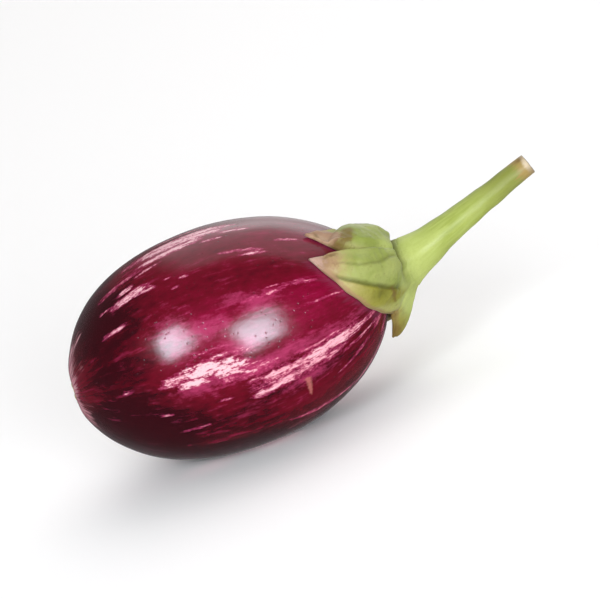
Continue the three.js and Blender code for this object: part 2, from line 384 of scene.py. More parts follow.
@dataclass(frozen=True)
class CalyxForm:
    """The calyx and its stem, as heights above the fruit's skin and rings along a line."""

    skin: Skin = field(default_factory=Skin)
    turn: float = 18.0
    gap: float = 0.12
    edge_thickness: float = 0.75
    edge_wave: float = 0.22
    edge_waves: float = 19.0
    thinnest: float = 0.55
    rib_height: float = 0.55
    rib_half_angle: float = 11.0
    rib_narrowing: float = 5.0
    crinkle: float = 0.05
    rim_crinkle: float = 0.09
    crinkle_size: float = 5.0
    crinkle_onset: float = 4.0
    pucker: float = 0.035
    pucker_size: float = 1.7
    pucker_onset: float = 3.0
    stem_length: float = 39.6
    stem_bend: float = 19.0
    stem_lean: float = 5.0
    bend_length: float = 2.0
    stem_thin: float = 2.4
    stem_swell: float = 2.5
    stem_swell_length: float = 10.0
    stem_join: float = 4.4
    swell_height: float = 10.0
    flutes: int = 5
    flute: float = 0.03
    flute_fade: float = 14.0
    flute_turn: float = 40.0
    foot_memory: float = 3.0
    squaring_length: float = 8.0
    # The front sepal's crease and its vein are pressed into the top; the finish also paints shade along
    # both.
    fold: Crease = Crease(((12.5, 0.99), (7.5, 0.91), (1.5, 0.79), (-6.5, 0.67), (-19, 0.57)), 0.75, 0.5)
    vein: Crease = Crease(((22, 0.93), (16.3, 0.72), (16, 0.51), (19, 0.34)), 0.35, 0.16)
    clefts: tuple[Band, ...] = (Band(58, 42, 1.0), Band(0, 30, 0.45))
    cleft_depth: float = 1.15
    cleft_half_width: float = 0.8

    def across(self, angle: Union[float, np.ndarray]) -> np.ndarray:
        """The direction square to the fruit's axis at an angle from the calyx's zero."""
        turned = np.radians(np.asarray(angle) + self.turn)
        return np.stack([0.0 * turned, -np.cos(turned), np.sin(turned)], axis=-1)

    def drift(self) -> np.ndarray:
        """How far the stem moves sideways for each millimetre over the pole."""
        return self.across(90.0) * np.tan(np.radians(self.stem_bend)) + self.across(0.0) * np.tan(
            np.radians(self.stem_lean)
        )

    def drift_at(self, height: np.ndarray) -> np.ndarray:
        """The height, rounded off to nothing below the pole: (sqrt(h^2 + b^2) + h) / 2."""
        return (np.hypot(height, self.bend_length) + height) / 2.0

    def by_sepal(self, angle: np.ndarray, name: str) -> np.ndarray:
        """A sepal's value, eased from each sepal's root to the next.

        Args:
            angle: angles from the calyx's zero.
            name: name of the value.

        Returns:
            The value at each angle.
        """
        roots = np.array([s.root for s in SEPALS])
        values = np.array([getattr(s, name) for s in SEPALS])
        knots = np.append(roots - roots[0], FULL_TURN)
        heights = np.append(values, values[0])
        turned = np.mod(angle - roots[0], FULL_TURN)
        i = np.clip(np.searchsorted(knots, turned, side="right") - 1, 0, len(SEPALS) - 1)
        share = (turned - knots[i]) / (knots[i + 1] - knots[i])
        return heights[i] + (heights[i + 1] - heights[i]) * ease(share)

    def columns(self, per_side: int) -> np.ndarray:
        """Grid angles, evenly spaced from each notch to each tip, so both have one.

        Args:
            per_side: number of angles from a notch to a tip.

        Returns:
            Angles from the calyx's zero, once round.
        """
        sides = []
        for i, sepal in enumerate(SEPALS):
            start = sepal.tip - (sepal.tip - SEPALS[i - 1].notch) % FULL_TURN
            end = sepal.tip + (sepal.notch - sepal.tip) % FULL_TURN
            sides.append(np.linspace(start, sepal.tip, per_side, endpoint=False))
            sides.append(np.linspace(sepal.tip, end, per_side, endpoint=False))
        return np.concatenate(sides)

    def edge(self, angle: np.ndarray) -> np.ndarray:
        """The length along the skin from the pole to the calyx's edge.

        From a notch to a tip it rises as a power of the share of the way, with a small
        wave that is nothing at both ends.

        Args:
            angle: angles from the calyx's zero.

        Returns:
            The length at each angle.
        """
        out = np.zeros_like(angle)
        for i, sepal in enumerate(SEPALS):
            previous = SEPALS[i - 1]
            rise = (sepal.tip - previous.notch) % FULL_TURN
            fall = (sepal.notch - sepal.tip) % FULL_TURN
            since = np.mod(angle - previous.notch, FULL_TURN)
            rising = since <= rise
            share = np.clip(np.where(rising, since / rise, (rise + fall - since) / fall), 0.0, 1.0)
            notch = np.where(rising, previous.notch_reach, sepal.notch_reach)
            power = np.where(rising, sepal.before, sepal.after)
            wave = np.sin(np.radians(angle) * self.edge_waves + 1.0) * 4.0 * share * (1.0 - share)
            length = notch + (sepal.reach - notch) * share**power + self.edge_wave * wave
            out = np.where(since <= rise + fall, np.where(out == 0.0, length, out), out)
        return out

    def rib(self, angle: np.ndarray, share: np.ndarray) -> np.ndarray:
        """The midribs: a bell curve about each sepal's line from its root to its tip.

        Args:
            angle: angles from the calyx's zero.
            share: shares of the way from the pole to the edge.

        Returns:
            How fully each point lies on a midrib.
        """
        return sum(
            bell(
                turn_between(angle, s.root + (s.tip - s.root) * share),
                self.rib_half_angle - self.rib_narrowing * share,
            )
            for s in SEPALS
        )

    def heights(self, length: np.ndarray, angle: np.ndarray) -> tuple[np.ndarray, np.ndarray]:
        """Heights of the underside and of the top above the skin.

        The crown is a dome that thins to the edge, with the midribs on it. Pressed into
        it are the fold and vein of the front sepal and the cleft round the stem, and a
        soft crinkle grows towards the edge.

        Args:
            length: length along the skin from the pole.
            angle: angle from the calyx's zero.

        Returns:
            The two heights in millimetres.
        """
        edge = self.edge(angle)
        share = np.clip(length / edge, 0.0, 1.0)
        hood = np.minimum(self.by_sepal(angle, "hood"), edge)
        fall = np.clip(length / hood, 0.0, 1.0) ** self.by_sepal(angle, "dome")
        crown = (self.by_sepal(angle, "core") - self.edge_thickness) * np.sqrt(1.0 - fall)
        rib = self.rib_height * self.rib(angle, share) * np.sqrt(1.0 - share)
        top = self.edge_thickness + crown + rib
        for crease in (self.fold, self.vein):
            top = top - crease.depth * crease.profile(angle, share, length) * ramp(share, 1.01, 0.96)
        top = top - self.cleft_depth * self.cleft(angle, length)
        turned, past = np.radians(angle), length - self.stem_join
        spot = np.stack([length * np.cos(turned), length * np.sin(turned), 0.0 * length], axis=-1)
        crinkle = self.crinkle + self.rim_crinkle * share
        crinkle = crinkle * ripple(spot, self.crinkle_size, Seed.CRINKLE)
        top = top + crinkle * ramp(past, 0.0, self.crinkle_onset)
        pucker = self.pucker * ripple(spot, self.pucker_size, Seed.PUCKER)
        top = top + pucker * ramp(past, 0.0, self.pucker_onset)
        under = self.gap + self.by_sepal(angle, "lift") * share**2
        return under, under + np.maximum(top, self.thinnest)

    def cleft(self, angle: np.ndarray, length: np.ndarray) -> np.ndarray:
        """How deep a point lies in the cleft between the hood and the stem's foot, 0 to 1.

        A ring just outside the stem's join, deepest beside the tallest sepal. It sinks the
        calyx's top there, and painted shade is laid into it too.

        Args:
            angle: angles from the calyx's zero.
            length: lengths along the skin from the pole.

        Returns:
            The cleft at each point.
        """
        past, wide = length - self.stem_join, self.cleft_half_width
        ring = bell(past - wide, wide) * ramp(past, -0.1, 0.7)
        return np.clip(total(self.clefts, angle, length), 0.0, 1.0) * ring

    def stem_radius(self, height: np.ndarray) -> np.ndarray:
        """The stem's radius at a height over the pole: thin, with a foot that swells."""
        foot = np.exp((self.swell_height - height) / self.stem_swell_length)
        return self.stem_thin + self.stem_swell * foot


# ---- meshes ---------------------------------------------------------------------------


@dataclass
class Grid:
    """Rings of points that close into one surface, with values for the finishes."""

    rings: np.ndarray
    start: np.ndarray
    end: np.ndarray
    values: dict[str, np.ndarray] = field(default_factory=dict)

    def spread(self, value: np.ndarray) -> np.ndarray:
        """A ring value for every vertex, with each pole given its nearest ring's mean.

        Args:
            value: the value at each point of the rings.

        Returns:
            One value for each vertex, in the mesh's order.
        """
        flat = value.reshape(-1, *value.shape[2:])
        first = value[0].mean(axis=0, keepdims=True)
        last = value[-1].mean(axis=0, keepdims=True)
        return np.concatenate([first, flat, last])

    def faces(self) -> list[np.ndarray]:
        """Quads between the rings and a fan of triangles on each pole.

        Returns:
            Vertex numbers of the quads, the first fan and the last fan.
        """
        rows, columns = self.rings.shape[:2]
        i = np.arange(columns)
        j = (i + 1) % columns
        start = np.arange(rows - 1)[:, None] * columns + 1
        quads = np.stack([start + i, start + j, start + columns + j, start + columns + i], -1)
        last = 1 + (rows - 1) * columns
        first_fan = np.stack([np.zeros_like(i), 1 + j, 1 + i], -1)
        last_fan = np.stack([np.full_like(i, last + columns), last + i, last + j], -1)
        return [quads.reshape(-1, 4), first_fan, last_fan]

    def build(self, name: str) -> bpy.types.Object:
        """Makes the mesh object, with faces turned outwards and values as attributes.

        Args:
            name: name of the piece.

        Returns:
            The new object, linked to the scene, with its place in its mesh.
        """
        points = np.concatenate([self.start[None], self.rings.reshape(-1, 3), self.end[None]])
        faces = [face for block in self.faces() for face in block.tolist()]
        mesh = bpy.data.meshes.new(name)
        mesh.from_pydata((points * METRES).tolist(), [], faces)
        if self.volume(points) < 0.0:
            mesh.flip_normals()
        mesh.validate()
        mesh.shade_smooth()
        for key, value in self.values.items():
            data = self.spread(value).astype(np.float32)
            kind, slot = ("FLOAT_VECTOR", "vector") if data.ndim == 2 else ("FLOAT", "value")
            mesh.attributes.new(key, kind, "POINT").data.foreach_set(slot, data.ravel())
        piece = bpy.data.objects.new(name, mesh)
        bpy.context.scene.collection.objects.link(piece)
        return piece

    def volume(self, points: np.ndarray) -> float:
        """The signed volume, as the sum of the tetrahedra from the first point.

        Args:
            points: the vertices' positions.

        Returns:
            The volume, below 0 where the faces point inwards.
        """
        quads, first, last = self.faces()
        triangles = np.concatenate([quads[:, :3], quads[:, [0, 2, 3]], first, last])
        a, b, c = (points[triangles[:, k]] - points[0] for k in range(3))
        return float(np.einsum("ij,ij->i", a, np.cross(b, c)).sum() / 6.0)


# ---- shader maths ---------------------------------------------------------------------

Feed = Union[float, Sequence[float], Enum, "Value", bpy.types.NodeSocket]


class Value:
    """A shader socket that carries one number, and takes part in sums as one."""

    def __init__(self, graph: "Graph", socket: bpy.types.NodeSocket) -> None:
        """Keeps the graph to add nodes to and the socket to read."""
        self.graph = graph
        self.socket = socket

    def math(self, operation: str, *feeds: Feed) -> "Value":
        """Adds one Math node on the given feeds."""
        return self.graph.number("ShaderNodeMath", {"operation": operation}, list(feeds))

    def __add__(self, other: Feed) -> "Value":
        """self + other."""
        return self.math("ADD", self, other)

    __radd__ = __add__

    def __mul__(self, other: Feed) -> "Value":
        """self * other."""
        return self.math("MULTIPLY", self, other)

    __rmul__ = __mul__

    def __sub__(self, other: Feed) -> "Value":
        """self - other."""
        return self.math("SUBTRACT", self, other)

    def __rsub__(self, other: Feed) -> "Value":
        """other - self."""
        return self.math("SUBTRACT", other, self)

    def at_least(self, other: Feed) -> "Value":
        """The larger of the two."""
        return self.math("MAXIMUM", self, other)

    def swing(self, reach: float) -> "Value":
        """Noise about one half, turned into a swing about nothing: (self - 0.5) * reach."""
        return (self - 0.5) * reach

    def step(self, low: float, high: float) -> "Value":
        """A smooth step from 0 at low to 1 at high, which may be the smaller.

        Args:
            low: where the step is 0.
            high: where the step is 1.

        Returns:
            The step, as a value.
        """
        flip = low > high
        ends = (high, low) if flip else (low, high)
        out = (1.0, 0.0) if flip else (0.0, 1.0)
        return self.graph.number(
            "ShaderNodeMapRange",
            {"interpolation_type": "SMOOTHSTEP"},
            [self, ends[0], ends[1], out[0], out[1]],
        )


class Graph:
    """One material's node tree, with a node or two for each thing a finish needs."""

    def __init__(self, name: str) -> None:
        """Starts an empty material with an output and a Principled shader."""
        self.material = bpy.data.materials.new(name)
        self.material.use_nodes = True
        self.tree = self.material.node_tree
        self.tree.nodes.clear()
        self.output = self.tree.nodes.new("ShaderNodeOutputMaterial")
        self.shader = self.tree.nodes.new("ShaderNodeBsdfPrincipled")
        self.tree.links.new(self.shader.outputs[0], self.output.inputs[0])

    def feed(self, socket: bpy.types.NodeSocket, value: Feed) -> None:
        """Links a socket to a value, or sets it to a number or a tint's colour."""
        if isinstance(value, Value):
            self.tree.links.new(value.socket, socket)
        elif isinstance(value, bpy.types.NodeSocket):
            self.tree.links.new(value, socket)
        else:
            socket.default_value = value.value if isinstance(value, Enum) else value

    def node(
        self,
        kind: str,
        settings: dict[str, Any],
        feeds: Union[Sequence[Feed], dict[Union[str, int], Feed]],
    ) -> bpy.types.Node:
        """Adds any node.

        Args:
            kind: the node's type.
            settings: properties, set before its sockets are touched.
            feeds: values or links, in socket order or by socket name or number.

        Returns:
            The node.
        """
        made = self.tree.nodes.new(kind)
        for key, value in settings.items():
            setattr(made, key, value)
        pairs = feeds.items() if isinstance(feeds, dict) else enumerate(feeds)
        for key, value in pairs:
            self.feed(made.inputs[key], value)
        return made

    def number(self, kind: str, settings: dict[str, Any], feeds: Any, out: Any = 0) -> Value:
        """Adds a node and reads one of its outputs as a number.

        Args:
            kind: the node's type.
            settings: properties, set before its sockets are touched.
            feeds: values or links, in socket order or by socket name or number.
            out: name or number of the output.

        Returns:
            The output, as a value.
        """
        return Value(self, self.node(kind, settings, feeds).outputs[out])

    def attribute(self, name: str) -> Value:
        """A number stored on the mesh."""
        return self.number("ShaderNodeAttribute", {"attribute_name": name}, {}, "Fac")

    def coordinates(self) -> bpy.types.NodeSocket:
        """Positions on the piece, in metres."""
        return self.node("ShaderNodeTexCoord", {}, {}).outputs["Object"]

    def attribute_vector(self, name: str) -> bpy.types.NodeSocket:
        """A vector stored on the mesh."""
        return self.node("ShaderNodeAttribute", {"attribute_name": name}, {}).outputs["Vector"]

    def scaled(self, vector: bpy.types.NodeSocket, by: Sequence[float]) -> bpy.types.NodeSocket:
        """A vector with each part multiplied by its own factor."""
        made = self.node("ShaderNodeVectorMath", {"operation": "MULTIPLY"}, [vector, tuple(by)])
        return made.outputs[0]

    def noise(
        self,
        vector: bpy.types.NodeSocket,
        size: Sequence[float],
        detail: float = 2.0,
        rough: float = 0.5,
    ) -> Value:
        """Noise from 0 to 1 about 0.5, with a grain of its own size along each axis.

        Args:
            vector: the vector that it is read at.
            size: the grain's sizes, in the vector's units.
            detail: number of finer layers.
            rough: strength of each finer layer.

        Returns:
            The noise, as a value.
        """
        at = self.scaled(vector, [1.0 / s for s in size])
        return self.number(
            "ShaderNodeTexNoise",
            {"noise_dimensions": "3D"},
            {"Vector": at, "Scale": 1.0, "Detail": detail, "Roughness": rough},
            "Fac",
        )

    def cells(self, vector: bpy.types.NodeSocket, size: Sequence[float]) -> bpy.types.Node:
        """Drawn points, as the distance to the nearest and a colour for each.

        Args:
            vector: the vector that they are read at.
            size: typical spacing along each axis.

        Returns:
            The node, with its outputs Distance and Color.
        """
        at = self.scaled(vector, [1.0 / s for s in size])
        return self.node("ShaderNodeTexVoronoi", {"feature": "F1"}, {"Vector": at, "Scale": 1.0})

    def mix(self, factor: Feed, first: Feed, second: Feed) -> bpy.types.NodeSocket:
        """A colour between two.

        Args:
            factor: 0 for the first and 1 for the second, held between the two.
            first: colour or link.
            second: colour or link.

        Returns:
            The mixed colour's socket.
        """
        made = self.node("ShaderNodeMix", {"data_type": "RGBA", "clamp_factor": True}, {})
        self.feed(made.inputs["Factor"], factor)
        colours = [s for s in made.inputs if s.type == "RGBA"]
        self.feed(colours[0], first)
        self.feed(colours[1], second)
        return next(s for s in made.outputs if s.type == "RGBA")

    def relief(self, height: Value, depth: float) -> None:
        """Feeds the shader's normal from a height of the given depth in metres."""
        bump = self.node("ShaderNodeBump", {}, {"Strength": 1.0, "Distance": depth, "Height": height})
        self.feed(self.shader.inputs["Normal"], bump.outputs[0])

    def set(self, **values: Feed) -> None:
        """Sets or links the shader's sockets, named with underscores for spaces."""
        for key, value in values.items():
            self.feed(self.shader.inputs[key.replace("_", " ")], value)


# ---- finishes -------------------------------------------------------------------------


class Tint(Enum):
    """Colours of the fruit, the calyx and the stem."""

    MAROON = srgb(46, 1, 9)
    CRIMSON = srgb(93, 2, 22)
    MAGENTA = srgb(126, 4, 47)
    MAUVE = srgb(136, 63, 94)
    ROSE = srgb(167, 52, 95)
    PINK = srgb(208, 118, 138)
    WHITE = srgb(228, 182, 188)
    CREAM = srgb(216, 202, 116)
    CORK = srgb(124, 108, 50)
    SCAR = srgb(176, 102, 94)
    LEAF = srgb(125, 136, 60)
    LEAF_PALE = srgb(145, 152, 83)
    LEAF_YELLOW = srgb(126, 120, 26)
    # Painted shade, laid into the calyx's crease and the groove round the stem's foot.
    LEAF_PAINTED_SHADE = srgb(74, 73, 6)
    STRAW = srgb(172, 156, 101)
    DRY = srgb(146, 110, 86)
    BROWN = srgb(102, 78, 26)
    BLUSH = srgb(172, 140, 128)
    TAN = srgb(150, 112, 88)
    PAPER = srgb(168, 138, 110)
    STEM = srgb(138, 150, 64)
    STEM_PALE = srgb(175, 185, 107)
    STEM_DARK = srgb(112, 114, 46)
    CUT = srgb(150, 124, 72)
    PITH = srgb(212, 196, 172)


@dataclass(frozen=True)
class GlossySkin:
    """The fruit's skin: wet-looking crimson with pale streaks that run lengthwise.

    Grains are the sizes of its noise in millimetres, across and along the fruit.
    """

    roughness: float = 0.17
    cork_roughness: float = 0.5
    relief_depth: float = 5e-5
    broad_grain: tuple[float, float, float] = (6.0, 6.0, 30.0)
    band_grain: tuple[float, float, float] = (1.9, 1.9, 10.0)
    strand_grain: tuple[float, float, float] = (0.8, 0.8, 4.5)
    mottle_grain: tuple[float, float, float] = (1.3, 1.3, 2.4)
    fray_grain: tuple[float, float, float] = (0.8, 0.8, 3.4)
    speck_grain: tuple[float, float, float] = (0.5, 0.5, 0.75)
    wave_grain: tuple[float, float, float] = (2.4, 2.4, 4.0)
    pit_spacing: tuple[float, float, float] = (1.25, 1.25, 1.25)
    blot_size: float = 0.007

    def make(self) -> bpy.types.Material:
        """Builds the material.

        Flecks are the stored streak field, with noise that is drawn out lengthwise
        added before a threshold, so that their edges fray along the fruit.

        Returns:
            The material.
        """
        g = Graph("glossy_skin")
        grain = g.attribute_vector("grain")
        fleck = g.attribute("fleck")
        pale = g.attribute("pale")
        past_calyx = g.attribute("past_calyx")
        blossom = g.attribute("blossom")

        broad = g.noise(grain, self.broad_grain, 2.0)
        bands = g.noise(grain, self.band_grain, 3.0, 0.55)
        strands = g.noise(grain, self.strand_grain, 4.0, 0.6)
        mottle = g.noise(grain, self.mottle_grain, 3.0, 0.6)
        fray = g.noise(grain, self.fray_grain, 5.0, 0.7)
        speck = g.noise(grain, self.speck_grain, 3.0, 0.6)
        blot = g.noise(g.coordinates(), (self.blot_size,) * 3, 1.0)

        # Maroon, crimson and magenta by how ripe the skin is and where shade is painted in, with fine
        # lengthwise lines in them.
        ruby = g.attribute("ruby") + broad.swing(0.8) + bands.swing(0.7) + mottle.swing(0.7)
        colour = g.mix(ruby.step(-0.1, 0.5), Tint.MAROON, Tint.CRIMSON)
        colour = g.mix(ruby.step(0.4, 1.2), colour, Tint.MAGENTA)
        lines = (bands + strands.swing(0.7) + mottle.swing(0.5)).step(0.58, 0.84)
        colour = g.mix(lines * 0.22, colour, Tint.ROSE)
        colour = g.mix(strands.step(0.42, 0.28) * 0.15, colour, Tint.MAROON)

        # Duller skin beside the calyx, and a rosy flush between the streaks.
        shade = past_calyx + strands.swing(6.0) + bands.swing(5.0)
        colour = g.mix(shade.step(3.4, -1.5) * 0.35, colour, Tint.MAUVE)
        rosy = g.attribute("rosy") + mottle.swing(1.3) + strands.swing(1.3) + speck.swing(0.9)
        colour = g.mix(rosy.step(0.2, 1.3) * 0.62, colour, Tint.ROSE)

        # The streaks: pink to white, with a rosy fringe.
        field_here = fleck - 0.2 + fray.swing(4.4) + speck.swing(2.4)
        colour = g.mix(field_here.step(-0.8, 0.2) * 0.6, colour, Tint.ROSE)
        mask = field_here.step(0.0, 0.8)
        paleness = pale + fray.swing(1.6) + (field_here - 0.6) * 0.35
        colour = g.mix(mask * 0.92, colour, g.mix(paleness, Tint.PINK, Tint.WHITE))

        # The blossom end: pale rays, a cream halo and a cork scar.
        spread = blossom + blot.swing(20.0)
        ray = (spread + strands.swing(15.0) + bands.swing(11.0)).step(11.0, 4.5)
        colour = g.mix(ray * 0.85, colour, g.mix(fray.step(0.4, 0.62), Tint.PINK, Tint.WHITE))
        halo = (spread * 0.35 + blossom * 0.65 + strands.swing(6.0)).step(5.4, 3.4)
        colour = g.mix(halo * 0.9, colour, Tint.CREAM)
        cork = (blossom + speck.swing(2.6)).step(2.7, 1.9)
        colour = g.mix(cork, colour, Tint.CORK)

        # The healed scratch, and small dark pits.
        nick = g.attribute("nick") + speck.swing(0.7)
        colour = g.mix(nick.step(0.2, 1.0) * 0.7, colour, Tint.SCAR)
        pits = g.cells(grain, self.pit_spacing)
        drawn = Value(g, pits.outputs["Color"]).step(0.42, 0.62)
        pit = Value(g, pits.outputs["Distance"]).step(0.23, 0.1) * drawn
        colour = g.mix(pit * 0.3, colour, Tint.MAROON)

        # The gloss: dull on cork, a little less wet on streaks and pits.
        rough = self.roughness + speck.swing(0.08) + cork * self.cork_roughness
        rough = rough + mask * 0.08 + pit * 0.08
        g.set(Base_Color=colour, Roughness=rough.at_least(0.05))
        g.set(IOR=1.5, Specular_IOR_Level=0.6, Specular_Tint=(0.82, 0.93, 1.0, 1.0))
        g.set(Sheen_Weight=0.12, Sheen_Roughness=0.3, Sheen_Tint=(1.0, 0.86, 0.9, 1.0))
        wave = g.noise(grain, self.wave_grain, 2.0)
        height = wave * 0.8 + speck * 0.16 - pit * 0.45 + cork * speck * 0.8
        g.relief(height, self.relief_depth)
        return g.material


@dataclass(frozen=True)
class LeafyFlesh:
    """The calyx and stem: thick matt green, dried to straw and brown at its edges.

    Grains are the sizes of its noise in millimetres, across and along the fibres.
    """

    roughness: float = 0.48
    relief_depth: float = 1.3e-4
    broad_grain: tuple[float, float, float] = (3.4, 3.4, 7.0)
    strand_grain: tuple[float, float, float] = (0.9, 0.9, 8.0)
    speck_grain: tuple[float, float, float] = (0.5, 0.5, 0.6)

    def make(self) -> bpy.types.Material:
        """Builds the material from the values stored on the calyx's mesh.

        The leaf runs from green to straw and brown towards its edge, the stem darkens
        towards its tip, and dried, scorched and cut places lie over both. Painted shade
        darkens the crease, the groove round the stem and a gap along one sepal's margin,
        and painted light brightens the front sepal's lower side, the sepal below it and a
        spot on the crown.

        Returns:
            The material.
        """
        g = Graph("leafy_flesh")
        fibre = g.attribute_vector("fibre")
        inset = g.attribute("inset")
        rise = g.attribute("rise")
        dry = g.attribute("dry")
        scorch = g.attribute("scorch")
        fold = g.attribute("fold")
        facet = g.attribute("facet")
        cut = g.attribute("cut")
        blush = g.attribute("blush")
        cleft = g.attribute("cleft")
        rosy = g.attribute("rosy")

        broad = g.noise(fibre, self.broad_grain, 2.0)
        strands = g.noise(fibre, self.strand_grain, 3.0, 0.55)
        speck = g.noise(fibre, self.speck_grain, 3.0, 0.6)

        # The leaf: green, going to straw at its edge and front tip, and paler where light is painted on,
        # on the lower sepal near the stem and in a spot on the crown.
        leaf = g.mix(broad.step(0.35, 0.65), Tint.LEAF, Tint.LEAF_PALE)
        leaf = g.mix(strands.step(0.5, 0.75) * 0.3, leaf, Tint.LEAF_PALE)
        leaf = g.mix((inset + broad.swing(9.0)).step(4.0, 0.0) * 0.4, leaf, Tint.STRAW)
        leaf = g.mix((blush + speck.swing(0.5)).step(0.2, 0.9) * 0.7, leaf, Tint.STRAW)
        # Painted light: paler on the lower sepal near the stem, and in a spot on the crown.
        leaf = g.mix(g.attribute("sunny") * 0.85, leaf, Tint.STEM_PALE)

        # The front sepal's lower side, with painted light; painted shade along its crease; and its
        # flushed and browned margin.
        inward = (rise + broad.swing(6.0)).step(-16.5, -10.0)
        below = g.mix(inward, Tint.STRAW, Tint.LEAF_YELLOW)
        # Painted light on the side below the front sepal's ridge, in straw and yellow-green.
        leaf = g.mix((facet + speck.swing(0.3)) * 0.8, leaf, below)
        # Painted shade along the crease and its vein.
        leaf = g.mix((fold + speck.swing(0.3)) * 0.78, leaf, Tint.LEAF_PAINTED_SHADE)
        leaf = g.mix((blush + speck.swing(0.4)).step(0.5, 0.95) * 0.8, leaf, Tint.TAN)
        margin = (inset + speck.swing(0.9)).step(0.45, 0.0)
        leaf = g.mix(margin * 0.65, leaf, g.mix(rosy, Tint.BROWN, Tint.TAN))
        leaf = g.mix((blush + speck.swing(0.2)).step(0.93, 1.0) * 0.85, leaf, Tint.BLUSH)
        fleck = (speck * 0.6 + strands * 0.4).step(0.52, 0.7)
        leaf = g.mix(fleck * 0.18, leaf, Tint.BROWN)

        # The stem: pale at its foot, darker towards its tip, with a dried collar and lip.
        streaked = (strands * 0.5 + broad * 0.5).step(0.36, 0.66)
        stalk = g.mix(streaked * 0.55, Tint.STEM, Tint.STEM_PALE)
        foot = (rise + broad.swing(8.0)).step(12.0, 1.0)
        stalk = g.mix(foot * 0.5, stalk, Tint.STEM_PALE)
        stalk = g.mix(broad.step(0.55, 0.8) * rise.step(4.0, 14.0) * 0.45, stalk, Tint.STEM_DARK)
        tipward = (rise + strands.swing(12.0)).step(15.0, 30.0)
        stalk = g.mix(tipward * 0.7, stalk, Tint.STEM_DARK)
        collar = (rise + strands.swing(7.0)).step(29.6, 31.8)
        stalk = g.mix(collar * 0.9, stalk, Tint.CUT)
        lip = (rise + speck.swing(1.2)).step(32.5, 33.3)
        stalk = g.mix(lip * 0.7, stalk, g.mix(rosy, Tint.BROWN, Tint.PITH))

        # Leaf and stem joined, with painted shade in the groove between them, and all dry places.
        colour = g.mix(rise.step(-1.5, 2.5), leaf, stalk)
        # Painted shade in the groove round the stem's foot.
        colour = g.mix((cleft + speck.swing(0.4)) * 0.75, colour, Tint.LEAF_PAINTED_SHADE)
        dried = (dry + speck.swing(0.9) + strands.swing(0.5)).step(0.32, 0.62)
        colour = g.mix(dried, colour, g.mix(strands.step(0.35, 0.65), Tint.DRY, Tint.PAPER))
        # Scorched brown places, and one painted shadow along the front sepal's upper margin.
        burnt_and_shadowed = (scorch + speck.swing(0.8) + strands.swing(0.7)).step(0.12, 1.0)
        colour = g.mix(burnt_and_shadowed * 0.85, colour, Tint.BROWN)

        # The cut end: pale pith inside a brown ring.
        end_grain = (cut + speck.swing(0.12)).step(0.1, 0.3)
        pith = g.mix(speck.step(0.3, 0.7), Tint.CUT, Tint.PITH)
        face = g.mix(end_grain, Tint.BROWN, pith)
        colour = g.mix(g.attribute("on_cut").step(0.4, 0.6), colour, face)

        rough = self.roughness + strands.swing(0.2) + dried * 0.2 - rise.step(-1.0, 3.0) * 0.12
        g.set(Base_Color=colour, Roughness=rough)
        g.set(IOR=1.4, Specular_IOR_Level=0.5, Sheen_Weight=0.12, Sheen_Roughness=0.4)
        g.relief(strands * 0.35 + speck * 0.4 + dried * speck * 1.4, self.relief_depth)
        return g.material


# ---- the fruit ------------------------------------------------------------------------


@dataclass(frozen=True)
class Streak:
    """A pale fleck that runs lengthwise, between two lengths from the stem's pole.

    Its angle and drift are in degrees from the calyx's zero, its width is the half width
    in millimetres, and pale runs from 0 for pink to 1 for white.
    """

    angle: float
    start: float
    end: float
    width: float
    strength: float = 1.0
    drift: float = 0.0
    pale: float = 0.5

    def field(self, angle: np.ndarray, along: np.ndarray, radius: np.ndarray) -> np.ndarray:
        """The strength on the streak's middle line, 0 at its outline and less outside.

        It is the strength less (across / width)^2 and (2t - 1)^4, where t is the share
        of the way from end to end and the middle line turns by drift on the way.

        Args:
            angle: angles from the calyx's zero.
            along: lengths from the stem's pole.
            radius: distances from the fruit's axis.

        Returns:
            The field at each point.
        """
        t = (along - self.start) / (self.end - self.start)
        centre = self.angle + self.drift * np.clip(t, -0.5, 1.5)
        across = np.radians(turn_between(angle, centre)) * radius
        return self.strength - (across / self.width) ** 2 - np.clip(2.0 * t - 1.0, -3.0, 3.0) ** 4


